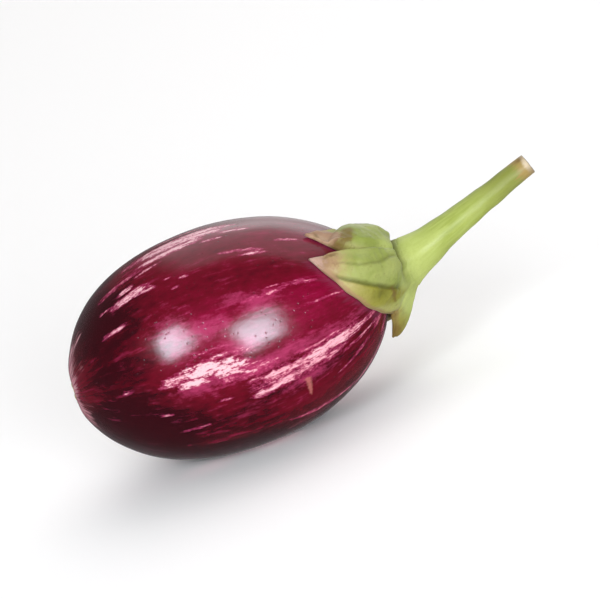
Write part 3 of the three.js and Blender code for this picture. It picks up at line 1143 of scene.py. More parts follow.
# The streaks on the side that faces forwards.
STREAKS = (
    # The pale patch low on the belly, and the flecks round it.
    Streak(-15.5, 47, 56.5, 1.6, 1.0, 1, 0.8),
    Streak(-11.5, 53, 62.5, 1.9, 1.1, 0, 0.9),
    Streak(-12.2, 50, 55.5, 1.5, 1.1, 0, 0.95),
    Streak(-16, 56, 64.5, 1.3, 0.85, 0.5, 0.7),
    Streak(-11, 60, 68, 1.2, 0.85, -2, 0.6),
    Streak(-7, 50, 58, 0.5, 0.6, 0, 0.5),
    Streak(-17, 44, 51, 0.5, 0.55, 1, 0.3),
    Streak(-21.5, 45, 54.5, 0.6, 0.95, 7, 0.6),
    Streak(-22, 47, 56, 0.9, 0.5, 3, 0.1),
    Streak(-19.5, 40, 50, 0.9, 0.45, 2, 0.2),
    Streak(-20.5, 40, 50, 1.8, 0.25, 0, 0.0),
    Streak(-8, 44.5, 50.5, 1.3, 0.2, 0, 0.0),
    # The long band that runs down from the calyx and splits in two.
    Streak(-26.3, 19, 37, 1.2, 1.15, 0.2, 0.45),
    Streak(-26.6, 11, 23, 0.8, 0.4, 0, 0.1),
    Streak(-29, 26, 49, 2.6, 0.45, -0.5, 0.0),
    Streak(-27.0, 27, 48.5, 0.95, 0.95, 1.6, 0.3),
    Streak(-27, 40, 49, 0.8, 0.4, 1, 0.1),
    Streak(-29.0, 26, 42, 0.6, 0.7, -3.0, 0.3),
    Streak(-29.6, 28, 39, 0.9, 0.95, -0.5, 0.4),
    Streak(-30.5, 38, 50, 0.5, 0.6, 0, 0.3),
    Streak(-31.0, 34, 48, 0.95, 1.0, -2.4, 0.35),
    Streak(-31.5, 24, 33, 1.2, 0.5, 0, 0.2),
    Streak(-32.3, 33, 40, 0.9, 0.45, 0, 0.1),
    Streak(-32.9, 42.5, 49, 0.8, 1.1, -1, 0.5),
    Streak(-34, 38, 52, 0.3, 0.1, 0, 0.1),
    Streak(-21, 18, 40, 0.5, 0.4, 0, 0.1),
    # Thin ones below it, down to the side that the fruit lies on.
    Streak(-36, 12, 27, 0.45, 0.4, 1, 0.2),
    Streak(-38, 9, 16, 0.8, 0.35, -4, 0.0),
    Streak(-42.5, 17, 29, 0.5, 0.38, -5, 0.0),
    Streak(-52, 8, 14.5, 0.9, 0.5, -12, 0.1),
    Streak(-72.5, 11, 28, 0.95, 0.7, -4, 0.2),
    Streak(-75, 24, 43, 0.8, 0.55, 14, 0.1),
    Streak(-30, 53, 57, 0.4, 0.35, 0, 0.2),
    Streak(-42, 60, 68, 0.45, 0.5, -2, 0.3),
    Streak(-30.5, 67, 71, 0.4, 0.45, 0, 0.3),
    Streak(-12, 74, 78, 0.5, 0.5, 0, 0.4),
    # The broken band over the top.
    Streak(75, 46, 60, 0.6, 0.7, 2, 0.5),
    Streak(69.5, 41, 67, 1.2, 1.0, -1, 0.6),
    Streak(65.5, 43, 63, 1.2, 1.0, 1, 0.6),
    Streak(61, 48, 64, 1.0, 1.05, -1.5, 0.6),
    Streak(61, 37, 45, 0.45, 0.7, 1, 0.5),
    Streak(57, 43.5, 49, 0.5, 0.7, 0, 0.5),
    Streak(57, 62, 76, 0.9, 0.45, -1, 0.1),
    Streak(55, 58, 66, 0.5, 0.6, -2, 0.4),
    # Single flecks on the shoulder, and the bold ones towards the blossom end.
    Streak(46.5, 27, 33, 0.5, 0.4, 0, 0.1),
    Streak(38.5, 34.5, 42, 0.45, 0.6, 1.5, 0.4),
    Streak(41, 35, 46, 0.55, 0.45, 3.5, 0.1),
    Streak(38, 53, 56, 0.45, 0.6, 0, 0.3),
    Streak(34, 56, 58.5, 0.4, 0.55, 0, 0.3),
    Streak(41, 57, 59.5, 0.3, 0.5, 0, 0.3),
    Streak(48.5, 66, 71, 0.7, 0.75, -1, 0.5),
    Streak(43, 62.5, 73, 1.0, 0.9, -1, 0.6),
    Streak(39.5, 61, 68, 0.6, 0.7, 2, 0.5),
    Streak(44, 72.5, 77, 0.4, 0.5, 1, 0.3),
    Streak(27.5, 70.5, 78, 0.6, 0.75, 0, 0.4),
    # Faint ones on the bright middle of the side.
    Streak(14.5, 34, 45, 0.6, 0.3, 0, 0.0),
    Streak(15.5, 25, 36, 0.5, 0.25, 0, 0.0),
    Streak(17, 28, 41, 0.35, 0.2, 1, 0.0),
    Streak(4, 16, 34, 0.5, 0.15, -2, 0.0),
    Streak(-3, 50, 60, 0.6, 0.15, 0, 0.0),
)

# Where the skin between the streaks is flushed with rose, in degrees and millimetres.
ROSY_PATCHES = (
    Patch(12.5, 42.0, 5.0, 3.6),
    Patch(17.5, 46.0, 3.0, 3.0, 0.8),
    Patch(15.5, 32.5, 3.0, 6.0, 0.5),
    Patch(9.5, 38.0, 4.0, 4.0, 0.7),
    Patch(7.0, 53.0, 6.0, 5.5, 0.9),
    Patch(8.0, 53.0, 4.0, 5.0, 0.4),
    Patch(12.5, 61.3, 8.5, 5.0),
    Patch(0.0, 61.5, 3.5, 4.0, 0.8),
    Patch(-5.0, 49.0, 4.0, 6.0, 0.7),
    Patch(-8.0, 47.5, 4.0, 4.5, 0.7),
    Patch(-18.0, 36.0, 4.8, 22.0),
    Patch(-20.0, 46.0, 4.0, 5.0, 0.6),
    Patch(-20.0, 60.0, 5.0, 6.0, 0.8),
    Patch(-37.0, 35.0, 5.0, 9.0, 0.9),
)


@dataclass(frozen=True)
class RipenessAndShade:
    """How far the skin has ripened from maroon, at 0, to magenta, at 1, with painted shade taken off."""

    base: float = 0.12
    bands: tuple[Band, ...] = (
        Band(2, 24, 0.75), Band(-52, 12, 0.35), Band(128, 20, 0.5), Band(205, 26, 0.6),
    )
    upper_bands: tuple[Band, ...] = (
        Band(66, 20, 0.42, whole_at=66, gone_at=82),
        Band(44, 15, 0.3, whole_at=54, gone_at=68),
        Band(36, 16, 0.12, whole_at=56, gone_at=48),
    )
    patches: tuple[Patch, ...] = (
        Patch(-31, 54, 9, 8, 0.42), Patch(7, 53, 8, 6, 0.3), Patch(28, 38, 10, 13, -0.08),
    )
    painted_shade: float = 0.3
    blossom_glow: float = 0.5

    def field(self, angle: np.ndarray, along: np.ndarray) -> np.ndarray:
        """Broad lengthwise bands, whole over the stem's half and weak at the blossom end.

        The weakening towards the blossom end is partly painted shade, and painted shade
        also darkens the skin low on the side and in a ring before the blossom's glow.

        Args:
            angle: angles from the calyx's zero.
            along: lengths from the stem's pole.

        Returns:
            The ripeness at each point.
        """
        bands = self.base + total(self.bands, angle, along)
        # Weaker towards the blossom end: partly the skin's own tone, partly painted shade.
        lengthwise = bands * (0.35 + 0.65 * ramp(along, 84.0, 42.0))
        more = total(self.upper_bands, angle, along) + total(self.patches, angle, along)
        # Painted shade, low on the side and in a ring before the blossom end.
        turned = turn_between(angle, 0.0)
        low = ramp(turned, -22.0, -36.0) * ramp(turned, -110.0, -90.0) * ramp(along, 40.0, 50.0)
        ring = ramp(along, 62.0, 74.0) * ramp(along, 88.0, 80.0)
        glow = self.blossom_glow * ramp(along, 86.0, 94.0)
        return lengthwise + more - self.painted_shade * (low + ring) + glow


@dataclass(frozen=True)
class Nick:
    """A healed scratch across the streaks, wide at its head and narrow at its foot."""

    angle: float = -38.0
    at: float = 36.0
    span: float = 13.0
    lean: float = 0.06
    foot_half_width: float = 0.34
    widening: float = 0.04
    head: Patch = Patch(-37.5, 36.6, 0.9, 1.1, 0.75)

    def field(self, angle: np.ndarray, along: np.ndarray) -> np.ndarray:
        """How fully a point lies in the scratch, from 0 to 1.

        A bell curve along the fruit about a line that leans by a little for each degree
        and widens from the foot, with soft ends, joined with the round head.

        Args:
            angle: angles from the calyx's zero.
            along: lengths from the stem's pole.

        Returns:
            The scratch at each point.
        """
        turned = turn_between(angle, self.angle)
        above_foot = np.clip(turned + self.span, 0.0, self.span)
        half_width = self.foot_half_width + self.widening * above_foot
        line = bell(along - self.at + self.lean * turned, half_width)
        ends = ramp(turned, -self.span - 1.0, -self.span + 4.0) * ramp(turned, 1.5, 0.0)
        return np.maximum(line * ends, self.head.field(angle, along))


@dataclass
class Fruit:
    """The egg-shaped fruit, with its streaks, its blossom scar and its resting spot."""

    skin: Skin = field(default_factory=Skin)
    calyx: CalyxForm = field(default_factory=CalyxForm)
    ripeness_and_shade: RipenessAndShade = field(default_factory=RipenessAndShade)
    nick: Nick = field(default_factory=Nick)
    rows: int = 246
    columns: int = 384
    hidden_streaks: int = 150
    hidden_bands: tuple[float, ...] = (100.0, 121.0, 148.0, 171.0, 196.0, 222.0, 243.0, 268.0)
    undulation: float = 0.045
    undulation_size: float = 19.0
    fine_share: float = 0.35
    fine_size: float = 8.0
    ridges: int = 11
    ridge: float = 0.03
    scar_radius: float = 2.6
    scar_sides: int = 5
    scar_rim: float = 0.22
    scar_rim_radius: float = 2.3
    scar_rim_width: float = 0.45
    scar_boss: float = 0.10
    scar_boss_radius: float = 1.5
    scar_roughness: float = 0.06
    scar_roughness_size: float = 0.9
    settling: float = 0.05
    name: str = "fruit_skin"

    def hidden(self) -> list[Streak]:
        """Streaks for the sides that turn away, drawn in lengthwise bands.

        Returns:
            The streaks.
        """
        draw = np.random.default_rng(Seed.HIDDEN_STREAKS.value)
        bands = np.array(self.hidden_bands)
        out = []
        for _ in range(self.hidden_streaks):
            angle = float(draw.choice(bands) + draw.normal(0.0, 3.4))
            start = float(draw.uniform(12.0, 84.0))
            length = float(draw.uniform(4.0, 19.0))
            width = float(draw.uniform(0.35, 1.5) * min(1.0, length / 9.0))
            strength = float(draw.uniform(0.3, 1.15))
            drift = float(draw.normal(0.0, 2.0))
            pale = float(draw.uniform(0.2, 0.9))
            end = min(start + length, 94.0)
            out.append(Streak(angle, start, end, width, strength, drift, pale))
        return out

    def relief(
        self, points: np.ndarray, polar: np.ndarray, around: np.ndarray, past: np.ndarray
    ) -> np.ndarray:
        """Low relief of the skin: undulations, faint ridges and the corky blossom scar.

        The ridges are a cosine about the axis whose crests wander, gone at both poles.
        The scar is a five-sided rim, a bell curve about its radius, round a small boss.

        Args:
            points: plain positions.
            polar: polar angles.
            around: angles about the axis.
            past: lengths from the blossom's pole.

        Returns:
            Heights in millimetres.
        """
        broad = ripple(points, self.undulation_size, Seed.UNDULATION)
        fine = ripple(points, self.fine_size, Seed.FINE_UNDULATION)
        height = self.undulation * (broad + self.fine_share * fine)
        wander = self.ridges * around + 0.6 * np.cos(3.0 * around)
        height = height + self.ridge * np.cos(wander) * np.sin(polar) ** 2
        rim = self.scar_rim * bell(past - self.scar_rim_radius, self.scar_rim_width)
        scar = rim + self.scar_boss * bell(past, self.scar_boss_radius)
        scar = scar * (1.0 + 0.5 * np.cos(self.scar_sides * around + 0.4))
        rough = self.scar_roughness * ripple(points, self.scar_roughness_size, Seed.SCAR)
        return height + scar + rough * bell(past, self.scar_radius)

    def build(self) -> bpy.types.Object:
        """Makes the piece, dressed and set on the frame.

        Returns:
            The fruit's object.
        """
        _, arc = self.skin.arc_table()
        whole = arc[-1]
        along_row = np.linspace(0.0, whole, self.rows + 2)[1:-1]
        polar_row = self.skin.polar_at(along_row)
        around_column = np.linspace(0.0, 2.0 * np.pi, self.columns, endpoint=False)
        polar, around = np.meshgrid(polar_row, around_column, indexing="ij")
        along, _ = np.meshgrid(along_row, around_column, indexing="ij")
        plain = self.skin.point(polar, around)
        past = whole - along
        normal = self.skin.normal(polar, around)
        points = plain + normal * self.relief(plain, polar, around, past)[..., None]
        points = self.skin.placed(points)
        points[..., 2] = self.settled(points[..., 2])
        poles = self.skin.placed(self.skin.point(np.array([0.0, np.pi]), np.zeros(2)))
        grid = Grid(points, poles[0], poles[1])
        grid.values = self.values(polar, around, along, past)
        piece = grid.build(self.name)
        piece.data.materials.append(GlossySkin().make())
        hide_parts("fruit")
        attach(piece, "root")
        return piece

    def settled(self, height: np.ndarray) -> np.ndarray:
        """Heights pressed flat at the table: (h + sqrt(h^2 + e^2)) / 2, never below it."""
        return (height + np.hypot(height, self.settling)) / 2.0

    def values(
        self, polar: np.ndarray, around: np.ndarray, along: np.ndarray, past: np.ndarray
    ) -> dict[str, np.ndarray]:
        """The values that the skin's finish reads.

        Args:
            polar: polar angles.
            around: angles about the axis.
            along: lengths from the stem's pole.
            past: lengths from the blossom's pole.

        Returns:
            Arrays by attribute name.
        """
        angle = np.degrees(around) - self.calyx.turn
        radius = self.skin.half_width * np.sin(polar)
        fleck = np.full_like(along, -2.0)
        pale = np.zeros_like(along)
        for streak in (*STREAKS, *self.hidden()):
            here = streak.field(angle, along, radius)
            pale = np.where(here > fleck, streak.pale, pale)
            fleck = np.maximum(fleck, here)
        wide = self.skin.half_width
        return {
            "grain": np.stack([wide * np.cos(around), wide * np.sin(around), along], axis=-1),
            "fleck": np.clip(fleck, -2.0, 1.5),
            "pale": pale,
            "past_calyx": along - self.calyx.edge(angle),
            "blossom": past,
            "ruby": self.ripeness_and_shade.field(angle, along),
            "nick": self.nick.field(angle, along),
            "rosy": total(ROSY_PATCHES, angle, along),
        }


# ---- the calyx with its stem ----------------------------------------------------------


# The ridge of the front sepal, as (angle, share of the way to the edge). The side below
# it is painted lighter in straw and yellow-green, as painted light.
FACET_LINE = ((-26.0, 0.5), (-6.5, 0.67), (1.5, 0.79), (7.5, 0.91), (13.0, 1.0))


@dataclass(frozen=True)
class DriedTip:
    """The dried tip of a sepal: its angle, where the drying starts and how far it goes."""

    angle: float
    starts_at: float
    strength: float

    def field(self, angle: np.ndarray, length: np.ndarray, degree: np.ndarray) -> np.ndarray:
        """A ramp of 5 mm towards the tip times a bell curve across, 4 mm to each side.

        Args:
            angle: angles from the calyx's zero.
            length: lengths along the skin from the pole.
            degree: width of a degree there, in millimetres.

        Returns:
            How dry each point is.
        """
        across = bell(turn_between(angle, self.angle) * degree, 4.0)
        return self.strength * ramp(length, self.starts_at, self.starts_at + 5.0) * across


@dataclass(frozen=True)
class CalyxMarks:
    """Marks of the calyx and stem, at angles from the calyx's zero.

    Half widths are in millimetres on the calyx and in degrees for bands and on the end.
    """

    dried: tuple[DriedTip, ...] = (
        DriedTip(48, 15.5, 1.0),
        DriedTip(148, 19.0, 0.8),
        DriedTip(-156, 18.0, 0.8),
        DriedTip(-76, 12.0, 0.3),
    )
    scorched_and_shadowed: tuple[Patch, ...] = (
        Patch(43.0, 17.2, 1.8, 1.5, 1.2),
        Patch(51.0, 16.4, 1.2, 1.3, 0.9),
        Patch(38.5, 19.2, 0.9, 1.4, 0.8),
        Patch(48.0, 23.0, 1.5, 0.8, 0.7),
        Patch(75.0, 13.6, 2.6, 1.3, 0.7),
        Patch(110.0, 11.5, 2.2, 0.9, 0.6),
        Patch(160.0, 17.0, 2.0, 2.0, 0.5),
        # Painted shadow: the dark gap along the front sepal's upper margin.
        Patch(27.0, 22.2, 0.8, 2.0, 0.8),
        Patch(-18.0, 10.2, 1.3, 0.8, 0.85),
        Patch(-30.0, 9.8, 1.6, 0.6, 0.6),
        Patch(-51.0, 10.2, 0.8, 2.0, 0.8),
        Patch(-68.0, 11.4, 1.6, 1.5, 0.75),
        Patch(-74.0, 12.8, 1.5, 1.0, 0.6),
        Patch(-140.0, 15.0, 2.0, 1.6, 0.6),
    )
    scorched_end: tuple[Patch, ...] = (
        Patch(52.0, -28.1, 24.0, 0.9, 0.9),
        Patch(-58.0, -29.0, 16.0, 0.6, 0.5),
    )
    # Painted shade at the foot of the front sepal's crease.
    shaded_fold_foot: Patch = Patch(-10.5, 13.2, 1.3, 2.2, 0.7)
    # Painted light on the sepal below the front one, towards its tip.
    painted_lit_lower_facet: Band = Band(-66, 24, 0.8, whole_at=10.5, gone_at=7.5)
    blush: Band = Band(26, 26, 1.0, whole_at=25.0, gone_at=13.0)
    # Painted light on the lower sepal near the stem, and on a spot of the crown.
    painted_light_near_stem: Band = Band(-60, 34, 0.8, whole_at=7.0, gone_at=10.5)
    painted_light_spot: Patch = Patch(36.0, 8.3, 1.6, 1.8, 0.7)
    rosy: Band = Band(8, 36, 0.75)
    rosy_base: float = 0.25
    vein_shade: float = 0.6
    fibre_radii: tuple[float, float] = (5.0, 12.0)


@dataclass
class CalyxWithStem:
    """The five-lobed calyx, the stem that it runs into and the stem's cut end."""

    form: CalyxForm = field(default_factory=CalyxForm)
    marks: CalyxMarks = field(default_factory=CalyxMarks)
    per_side: int = 64
    under_rows: int = 10
    rim_rows: int = 5
    crown_rows: int = 84
    stem_rows: int = 44
    cut_rows: int = 8
    crown_crowding: float = 1.6
    stem_crowding: float = 1.3
    rim_bulge: float = 0.6
    slant_start: float = -6.0
    unevenness: float = 0.05
    unevenness_size: float = 6.0
    unevenness_radius: float = 3.0
    end_shrink: float = 0.035
    end_shrink_length: float = 2.2
    lip: float = 0.12
    hollow: float = 0.42
    middle_depth: float = 0.3
    cut_roughness: float = 0.07
    cut_roughness_size: float = 1.4
    name: str = "calyx_and_stem"

    def under(self, angle: np.ndarray) -> tuple[np.ndarray, np.ndarray]:
        """Rings of the underside, from near the pole to the edge.

        Args:
            angle: the grid's angles from the calyx's zero.

        Returns:
            Positions, and their lengths along the skin.
        """
        share = (np.arange(self.under_rows) + 1.0)[:, None] / self.under_rows
        turned = np.broadcast_to(angle, (self.under_rows, angle.size))
        length = self.form.edge(angle) * share
        height, _ = self.form.heights(length, turned)
        around = np.radians(turned + self.form.turn)
        return self.form.skin.off(self.form.skin.polar_at(length), around, height), length

    def rim(self, angle: np.ndarray) -> tuple[np.ndarray, np.ndarray]:
        """Rings round the edge's rounded rim, a half ellipse from underside to top.

        Args:
            angle: the grid's angles from the calyx's zero.

        Returns:
            Positions, and their lengths along the skin.
        """
        bend = np.pi * (np.arange(self.rim_rows) + 1.0)[:, None] / (self.rim_rows + 1.0)
        turned = np.broadcast_to(angle, (self.rim_rows, angle.size))
        edge = self.form.edge(angle)
        under, top = self.form.heights(edge, angle)
        half = (top - under) / 2.0
        height = (under + top) / 2.0 - half * np.cos(bend)
        length = edge + self.rim_bulge * half * np.sin(bend)
        around = np.radians(turned + self.form.turn)
        return self.form.skin.off(self.form.skin.polar_at(length), around, height), length

    def crown(self, angle: np.ndarray, share: np.ndarray) -> dict[str, np.ndarray]:
        """Points of the calyx's top, from its edge at share 1 to the stem at share 0.

        The points stand off the skin by the calyx's height, with a shoulder that rises
        into the stem, and move sideways with the stem's slant above the pole.

        Args:
            angle: angles from the calyx's zero.
            share: shares of the way from the stem to the edge.

        Returns:
            Positions, heights over the pole, radii and lengths along the skin.
        """
        form = self.form
        length = form.stem_join + (form.edge(angle) - form.stem_join) * share**self.crown_crowding
        shoulder = form.by_sepal(angle, "shoulder") * (1.0 - share) ** 2
        _, top = form.heights(length, angle)
        around = np.radians(angle + form.turn)
        upright = form.skin.off(form.skin.polar_at(length), around, top + shoulder)
        over = upright[..., 0] - form.skin.half_length
        slant = form.drift_at(over) * ramp(over, self.slant_start, 0.0)
        radius = np.hypot(upright[..., 1], upright[..., 2])
        return {
            "points": upright + slant[..., None] * form.drift(),
            "over": over,
            "radius": radius,
            "length": length,
        }

    def stem(self, angle: np.ndarray) -> tuple[np.ndarray, np.ndarray]:
        """Rings of the stem, from the crown to the cut end.

        Each ring is a circle about the slanting centre line with five faint flutes. It
        keeps the crown's own outline at its foot, fading with the exponential of its
        height, and turns from square to the fruit to square to the stem.

        Args:
            angle: the grid's angles from the calyx's zero.

        Returns:
            Positions, and their heights over the stem's foot.
        """
        form = self.form
        foot = self.crown(angle, np.zeros_like(angle))
        start = foot["over"].mean()
        share = (np.arange(self.stem_rows) + 1.0)[:, None] / self.stem_rows
        height = start + (form.stem_length - start) * share**self.stem_crowding
        memory = np.exp(-(height - start) / form.foot_memory)
        wave = np.cos(np.radians(form.flutes * angle + form.flute_turn))
        flute = form.flute * np.exp((start - height) / form.flute_fade) * wave
        swell = (foot["radius"] - form.stem_radius(start)) * memory
        radius = (form.stem_radius(height) + swell) * (1.0 + flute)
        turned = np.radians(angle) + 0.0 * height
        wide = self.unevenness_radius
        spot = np.stack([height + 0.0 * turned, wide * np.cos(turned), wide * np.sin(turned)], axis=-1)
        shrink = 1.0 - self.end_shrink * bell(height - form.stem_length, self.end_shrink_length)
        uneven = self.unevenness * ripple(spot, self.unevenness_size, Seed.STEM)
        radius = radius * shrink + uneven
        over = height + (foot["over"] - start) * memory
        axis = np.array([1.0, 0.0, 0.0])
        heading = unit(axis + form.drift())
        facing = unit(axis + (heading - axis) * ramp(height, start, start + form.squaring_length))
        near = form.across(0.0)
        side = unit(near - facing * (facing @ near)[:, None])
        upper = np.cross(facing, side)
        upper = upper * np.sign(upper @ form.across(90.0))[:, None]
        centre = over[..., None] * axis + form.drift_at(over)[..., None] * form.drift()
        centre = centre + form.skin.half_length * axis
        spoke = (
            np.cos(np.radians(angle))[None, :, None] * side[:, None]
            + np.sin(np.radians(angle))[None, :, None] * upper[:, None]
        )
        return centre + radius[..., None] * spoke, height - start + 0.0 * radius

    def cut(self, ring: np.ndarray) -> tuple[np.ndarray, np.ndarray, np.ndarray]:
        """Rings across the cut end, inwards from the last ring of the stem.

        A small rounded lip stands proud of a face that dries hollow towards its middle.

        Args:
            ring: the stem's last ring.

        Returns:
            The rings, the face's middle, and each ring's share of the way inwards.
        """
        middle = ring.mean(axis=0)
        heading = unit(np.array([1.0, 0.0, 0.0]) + self.form.drift())
        inward = (np.arange(self.cut_rows) + 1.0)[:, None] / (self.cut_rows + 1.0)
        sunk = self.lip * ramp(inward, 0.0, 0.12) - self.hollow * ramp(inward, 0.1, 0.55)
        spoke = self.cut_roughness * ripple(ring, self.cut_roughness_size, Seed.CUT)
        rough = spoke[None, :] * inward * (1.0 - inward) * 4.0
        rings = ring[None] + (middle - ring)[None] * inward[..., None]
        rings = rings + (sunk + rough)[..., None] * heading
        return rings, middle - self.middle_depth * heading, inward + 0.0 * ring[None, :, 0]

    def build(self) -> bpy.types.Object:
        """Makes the piece, dressed and set on the frame.

        Returns:
            The calyx's object.
        """
        angle = self.form.columns(self.per_side)
        under, under_length = self.under(angle)
        rim, rim_length = self.rim(angle)
        share = np.linspace(1.0, 0.0, self.crown_rows)[:, None]
        turned = np.broadcast_to(angle, (self.crown_rows, angle.size))
        crown = self.crown(turned, np.broadcast_to(share, turned.shape))
        stem, rise = self.stem(angle)
        cut, middle, inward = self.cut(stem[-1])
        skin = self.form.skin
        rings = skin.placed(np.concatenate([under, rim, crown["points"], stem, cut]))
        inside = skin.point(np.array(1e-3), np.array(0.0)) + np.array([self.form.gap, 0.0, 0.0])
        grid = Grid(rings, skin.placed(inside), skin.placed(middle))
        join = self.form.stem_join
        length = np.concatenate(
            [under_length, rim_length, crown["length"], join - rise, join - rise[-1:] - 0.0 * inward]
        )
        before_cut = np.zeros((len(rings) - len(cut), angle.size))
        on_cut = np.concatenate([before_cut, np.ones_like(inward)])
        cut_share = np.concatenate([before_cut, inward])
        grid.values = self.values(np.broadcast_to(angle, length.shape), length, on_cut, cut_share)
        piece = grid.build(self.name)
        piece.data.materials.append(LeafyFlesh().make())
        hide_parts("calyx_with_stem")
        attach(piece, "root")
        return piece

    def values(
        self, angle: np.ndarray, length: np.ndarray, on_cut: np.ndarray, cut_share: np.ndarray
    ) -> dict[str, np.ndarray]:
        """The values that the calyx's finish reads.

        Args:
            angle: angles from the calyx's zero.
            length: lengths from the pole, less than the stem's join on the stem.
            on_cut: 1 on the cut end and 0 elsewhere.
            cut_share: share of the way to the middle of the cut end.

        Returns:
            Arrays by attribute name.
        """
        form, marks = self.form, self.marks
        edge = form.edge(angle)
        share = np.clip(length / edge, 0.0, 1.0)
        degree = length * np.radians(1.0)
        past = length - form.stem_join
        on_leaf = ramp(past, 0.0, 2.0)
        turned = np.radians(angle)
        thin, wide = marks.fibre_radii
        wide = thin + (wide - thin) * ramp(past, -4.0, 4.0)

        # Painted shade along the crease, its vein and its foot.
        vein = marks.vein_shade * form.vein.profile(angle, share, length)
        fold = form.fold.profile(angle, share, length) + vein
        fold = fold + marks.shaded_fold_foot.field(angle, length, degree)
        # Painted light on the side below the front sepal's ridge and on the sepal below.
        line = np.array(FACET_LINE)
        below = turn_between(angle, np.interp(share, line[:, 1], line[:, 0]))
        facet = ramp(below, 0.0, -3.0) * ramp(share, 0.45, 0.65) * ramp(below, -38.0, -26.0)
        facet = facet + marks.painted_lit_lower_facet.field(angle, length)
        # Scorched places, with one painted shadow among them.
        scorch = sum(mark.field(angle, length, degree) for mark in marks.scorched_and_shadowed)
        # Painted light on the lower sepal near the stem and in a spot on the crown.
        sunny = marks.painted_light_near_stem.field(angle, length) + marks.painted_light_spot.field(angle, length, degree)
        dry = sum(tip.field(angle, length, degree) for tip in marks.dried)
        return {
            "fibre": np.stack([wide * np.cos(turned), wide * np.sin(turned), length], axis=-1),
            "inset": np.clip(edge - length, 0.0, 30.0),
            "rise": -past,
            "dry": dry * on_leaf,
            "scorch": scorch * on_leaf + total(marks.scorched_end, angle, length),
            "fold": np.clip(fold, 0.0, 1.0) * on_leaf,
            "facet": np.clip(facet, 0.0, 1.0) * on_leaf,
            "cleft": form.cleft(angle, length),
            "cut": cut_share,
            "on_cut": on_cut,
            "blush": marks.blush.field(angle, length) * on_leaf,
            "sunny": np.clip(sunny, 0.0, 1.0) * on_leaf,
            "rosy": marks.rosy_base + marks.rosy.field(angle, length),
        }


# ---- studio ---------------------------------------------------------------------------


COOL = (0.92, 0.96, 1.0)


@dataclass(frozen=True)
class SoftBox:
    """A soft light, placed by a direction in the camera's right, up and back axes."""

    name: str
    direction: tuple[float, float, float]
    width: float
    height: float
    radiance: float
    distance: float = 0.8
    feather: float = 0.0
    turn: float = 0.0
    tint: tuple[float, float, float] = (1.0, 1.0, 1.0)
    mirrored: bool = True


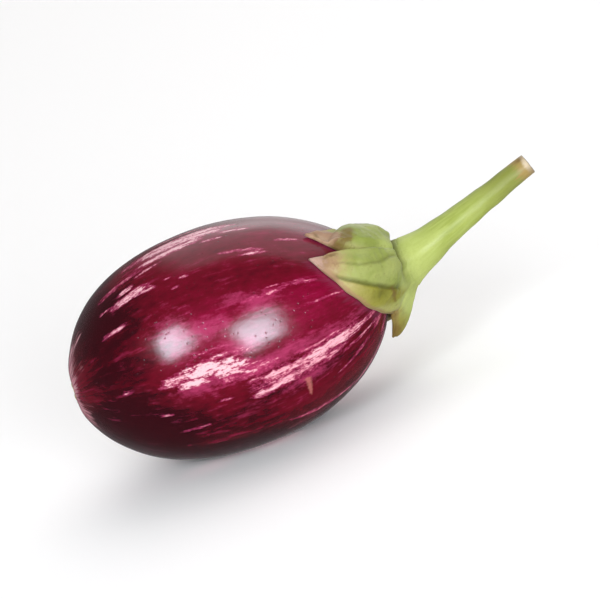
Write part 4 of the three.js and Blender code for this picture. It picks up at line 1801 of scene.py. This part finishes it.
@dataclass
class Studio:
    """The camera, the pale floor and the soft lights."""

    elevation: float = 18.0
    roll: float = 20.0
    distance: float = 0.95
    frame_width: float = 0.136
    look_at: tuple[float, float, float] = (0.0187, 0.0, 0.0275)
    sensor: float = 36.0
    floor_half: float = 3.0
    world_strength: float = 0.08
    boxes: tuple[SoftBox, ...] = (
        SoftBox(
            "soft_left", (-0.455, 0.041, 0.90), width=0.56, height=0.97, radiance=15.4,
            distance=1.6, feather=0.6, turn=38.0, tint=COOL,
        ),
        SoftBox(
            "soft_right", (0.256, 0.001, 0.96), width=0.90, height=1.18, radiance=15.4,
            distance=1.6, feather=0.72, turn=30.0, tint=COOL,
        ),
        SoftBox(
            "overhead", (0.02, 0.94, -0.34), width=1.65, height=1.9, radiance=0.9,
            distance=1.2, feather=0.35,
        ),
        SoftBox(
            "backdrop", (0.34, 0.6, -0.75), width=2.5, height=1.7, radiance=0.85,
            distance=1.6, feather=0.5,
        ),
        SoftBox(
            "fill", (-0.325, 0.894, 0.309), width=2.4, height=2.4, radiance=0.8,
            distance=1.3, mirrored=False,
        ),
        SoftBox(
            "side", (0.86, -0.1, 0.5), width=1.2, height=1.2, radiance=2.0,
            distance=1.4, mirrored=False,
        ),
    )

    def axes(self) -> Matrix:
        """The camera's right, up and back directions, with its roll.

        Returns:
            The three directions as columns.
        """
        tilt = np.radians(self.elevation)
        back = Vector((0.0, -np.cos(tilt), np.sin(tilt)))
        right = Vector((1.0, 0.0, 0.0))
        up = back.cross(right)
        turn = np.radians(self.roll)
        rolled_right = right * np.cos(turn) - up * np.sin(turn)
        rolled_up = right * np.sin(turn) + up * np.cos(turn)
        return Matrix((rolled_right, rolled_up, back)).transposed()

    def camera(self) -> None:
        """Makes the camera, which looks down on the fruit from its front side."""
        data = bpy.data.cameras.new("camera")
        data.sensor_width = self.sensor
        data.lens = self.sensor * self.distance / self.frame_width
        data.clip_start, data.clip_end = 0.01, 20.0
        camera = bpy.data.objects.new("camera", data)
        axes = self.axes()
        camera.matrix_world = Matrix.Translation(
            Vector(self.look_at) + axes.col[2] * self.distance
        ) @ axes.to_4x4()
        bpy.context.scene.collection.objects.link(camera)
        bpy.context.scene.camera = camera

    def floor(self) -> None:
        """Makes the plain pale floor."""
        s = self.floor_half
        mesh = bpy.data.meshes.new("floor")
        mesh.from_pydata([(-s, -s, 0), (s, -s, 0), (s, s, 0), (-s, s, 0)], [], [(0, 1, 2, 3)])
        floor = bpy.data.objects.new("floor", mesh)
        bpy.context.scene.collection.objects.link(floor)
        g = Graph("pale_floor")
        g.set(Base_Color=srgb(252, 250, 249), Roughness=0.8)
        mesh.materials.append(g.material)
        floor.visible_glossy = False

    def fade(self, data: bpy.types.AreaLight, share: float) -> None:
        """Dims a soft box towards its four edges.

        Its strength falls smoothly to nothing over the outer share of its half width
        and of its half height: the product of an eased ramp along each.

        Args:
            data: the light.
            share: the share that fades.
        """
        data.use_nodes = True
        tree = data.node_tree
        glow = next(node for node in tree.nodes if node.type == "EMISSION")
        place = tree.nodes.new("ShaderNodeNewGeometry").outputs["Parametric"]
        parts = tree.nodes.new("ShaderNodeSeparateXYZ")
        tree.links.new(place, parts.inputs[0])
        both = tree.nodes.new("ShaderNodeMath")
        both.operation = "MULTIPLY"
        for axis in range(2):
            off = tree.nodes.new("ShaderNodeMath")
            off.operation = "PINGPONG"
            off.inputs[1].default_value = 0.5
            slope = tree.nodes.new("ShaderNodeMapRange")
            slope.interpolation_type = "SMOOTHSTEP"
            slope.inputs[2].default_value = 0.5 * share
            tree.links.new(parts.outputs[axis], off.inputs[0])
            tree.links.new(off.outputs[0], slope.inputs[0])
            tree.links.new(slope.outputs[0], both.inputs[axis])
        tree.links.new(both.outputs[0], glow.inputs["Strength"])

    def lamp(self, box: SoftBox) -> None:
        """Makes one soft light, which faces the point that the camera looks at.

        Args:
            box: its size, place and strength.
        """
        data = bpy.data.lights.new(box.name, "AREA")
        data.shape = "RECTANGLE"
        data.size, data.size_y = box.width, box.height
        data.energy = box.radiance * np.pi * box.width * box.height
        data.color = box.tint
        if box.feather > 0.0:
            self.fade(data, box.feather)
        axes = self.axes()
        back = (axes @ Vector(box.direction)).normalized()
        level = axes.col[1].cross(back).normalized()
        right = Matrix.Rotation(np.radians(box.turn), 3, back) @ level
        facing = Matrix((right, back.cross(right), back)).transposed()
        place = Vector(self.look_at) + back * box.distance
        lamp = bpy.data.objects.new(box.name, data)
        lamp.matrix_world = Matrix.Translation(place) @ facing.to_4x4()
        lamp.visible_camera = False
        lamp.visible_glossy = box.mirrored
        bpy.context.scene.collection.objects.link(lamp)

    def surroundings(self) -> None:
        """Makes the even, faint white light from all sides."""
        world = bpy.data.worlds.new("surroundings")
        world.use_nodes = True
        sky = world.node_tree.nodes["Background"]
        sky.inputs["Color"].default_value = (1.0, 1.0, 1.0, 1.0)
        sky.inputs["Strength"].default_value = self.world_strength
        bpy.context.scene.world = world

    def build(self) -> None:
        """Makes the whole studio and sets how its light is shown."""
        self.camera()
        self.floor()
        for box in self.boxes:
            self.lamp(box)
        self.surroundings()
        bpy.context.scene.view_settings.view_transform = "Standard"


def main() -> None:
    """Builds the studio, the fruit and the calyx."""
    logging.basicConfig(level=logging.INFO, format="%(name)s: %(message)s")
    Studio().build()
    for maker in (Fruit(), CalyxWithStem()):
        piece = maker.build()
        LOG.info("%s: %d faces", piece.name, len(piece.data.polygons))


if __name__ == "__main__":
    main()
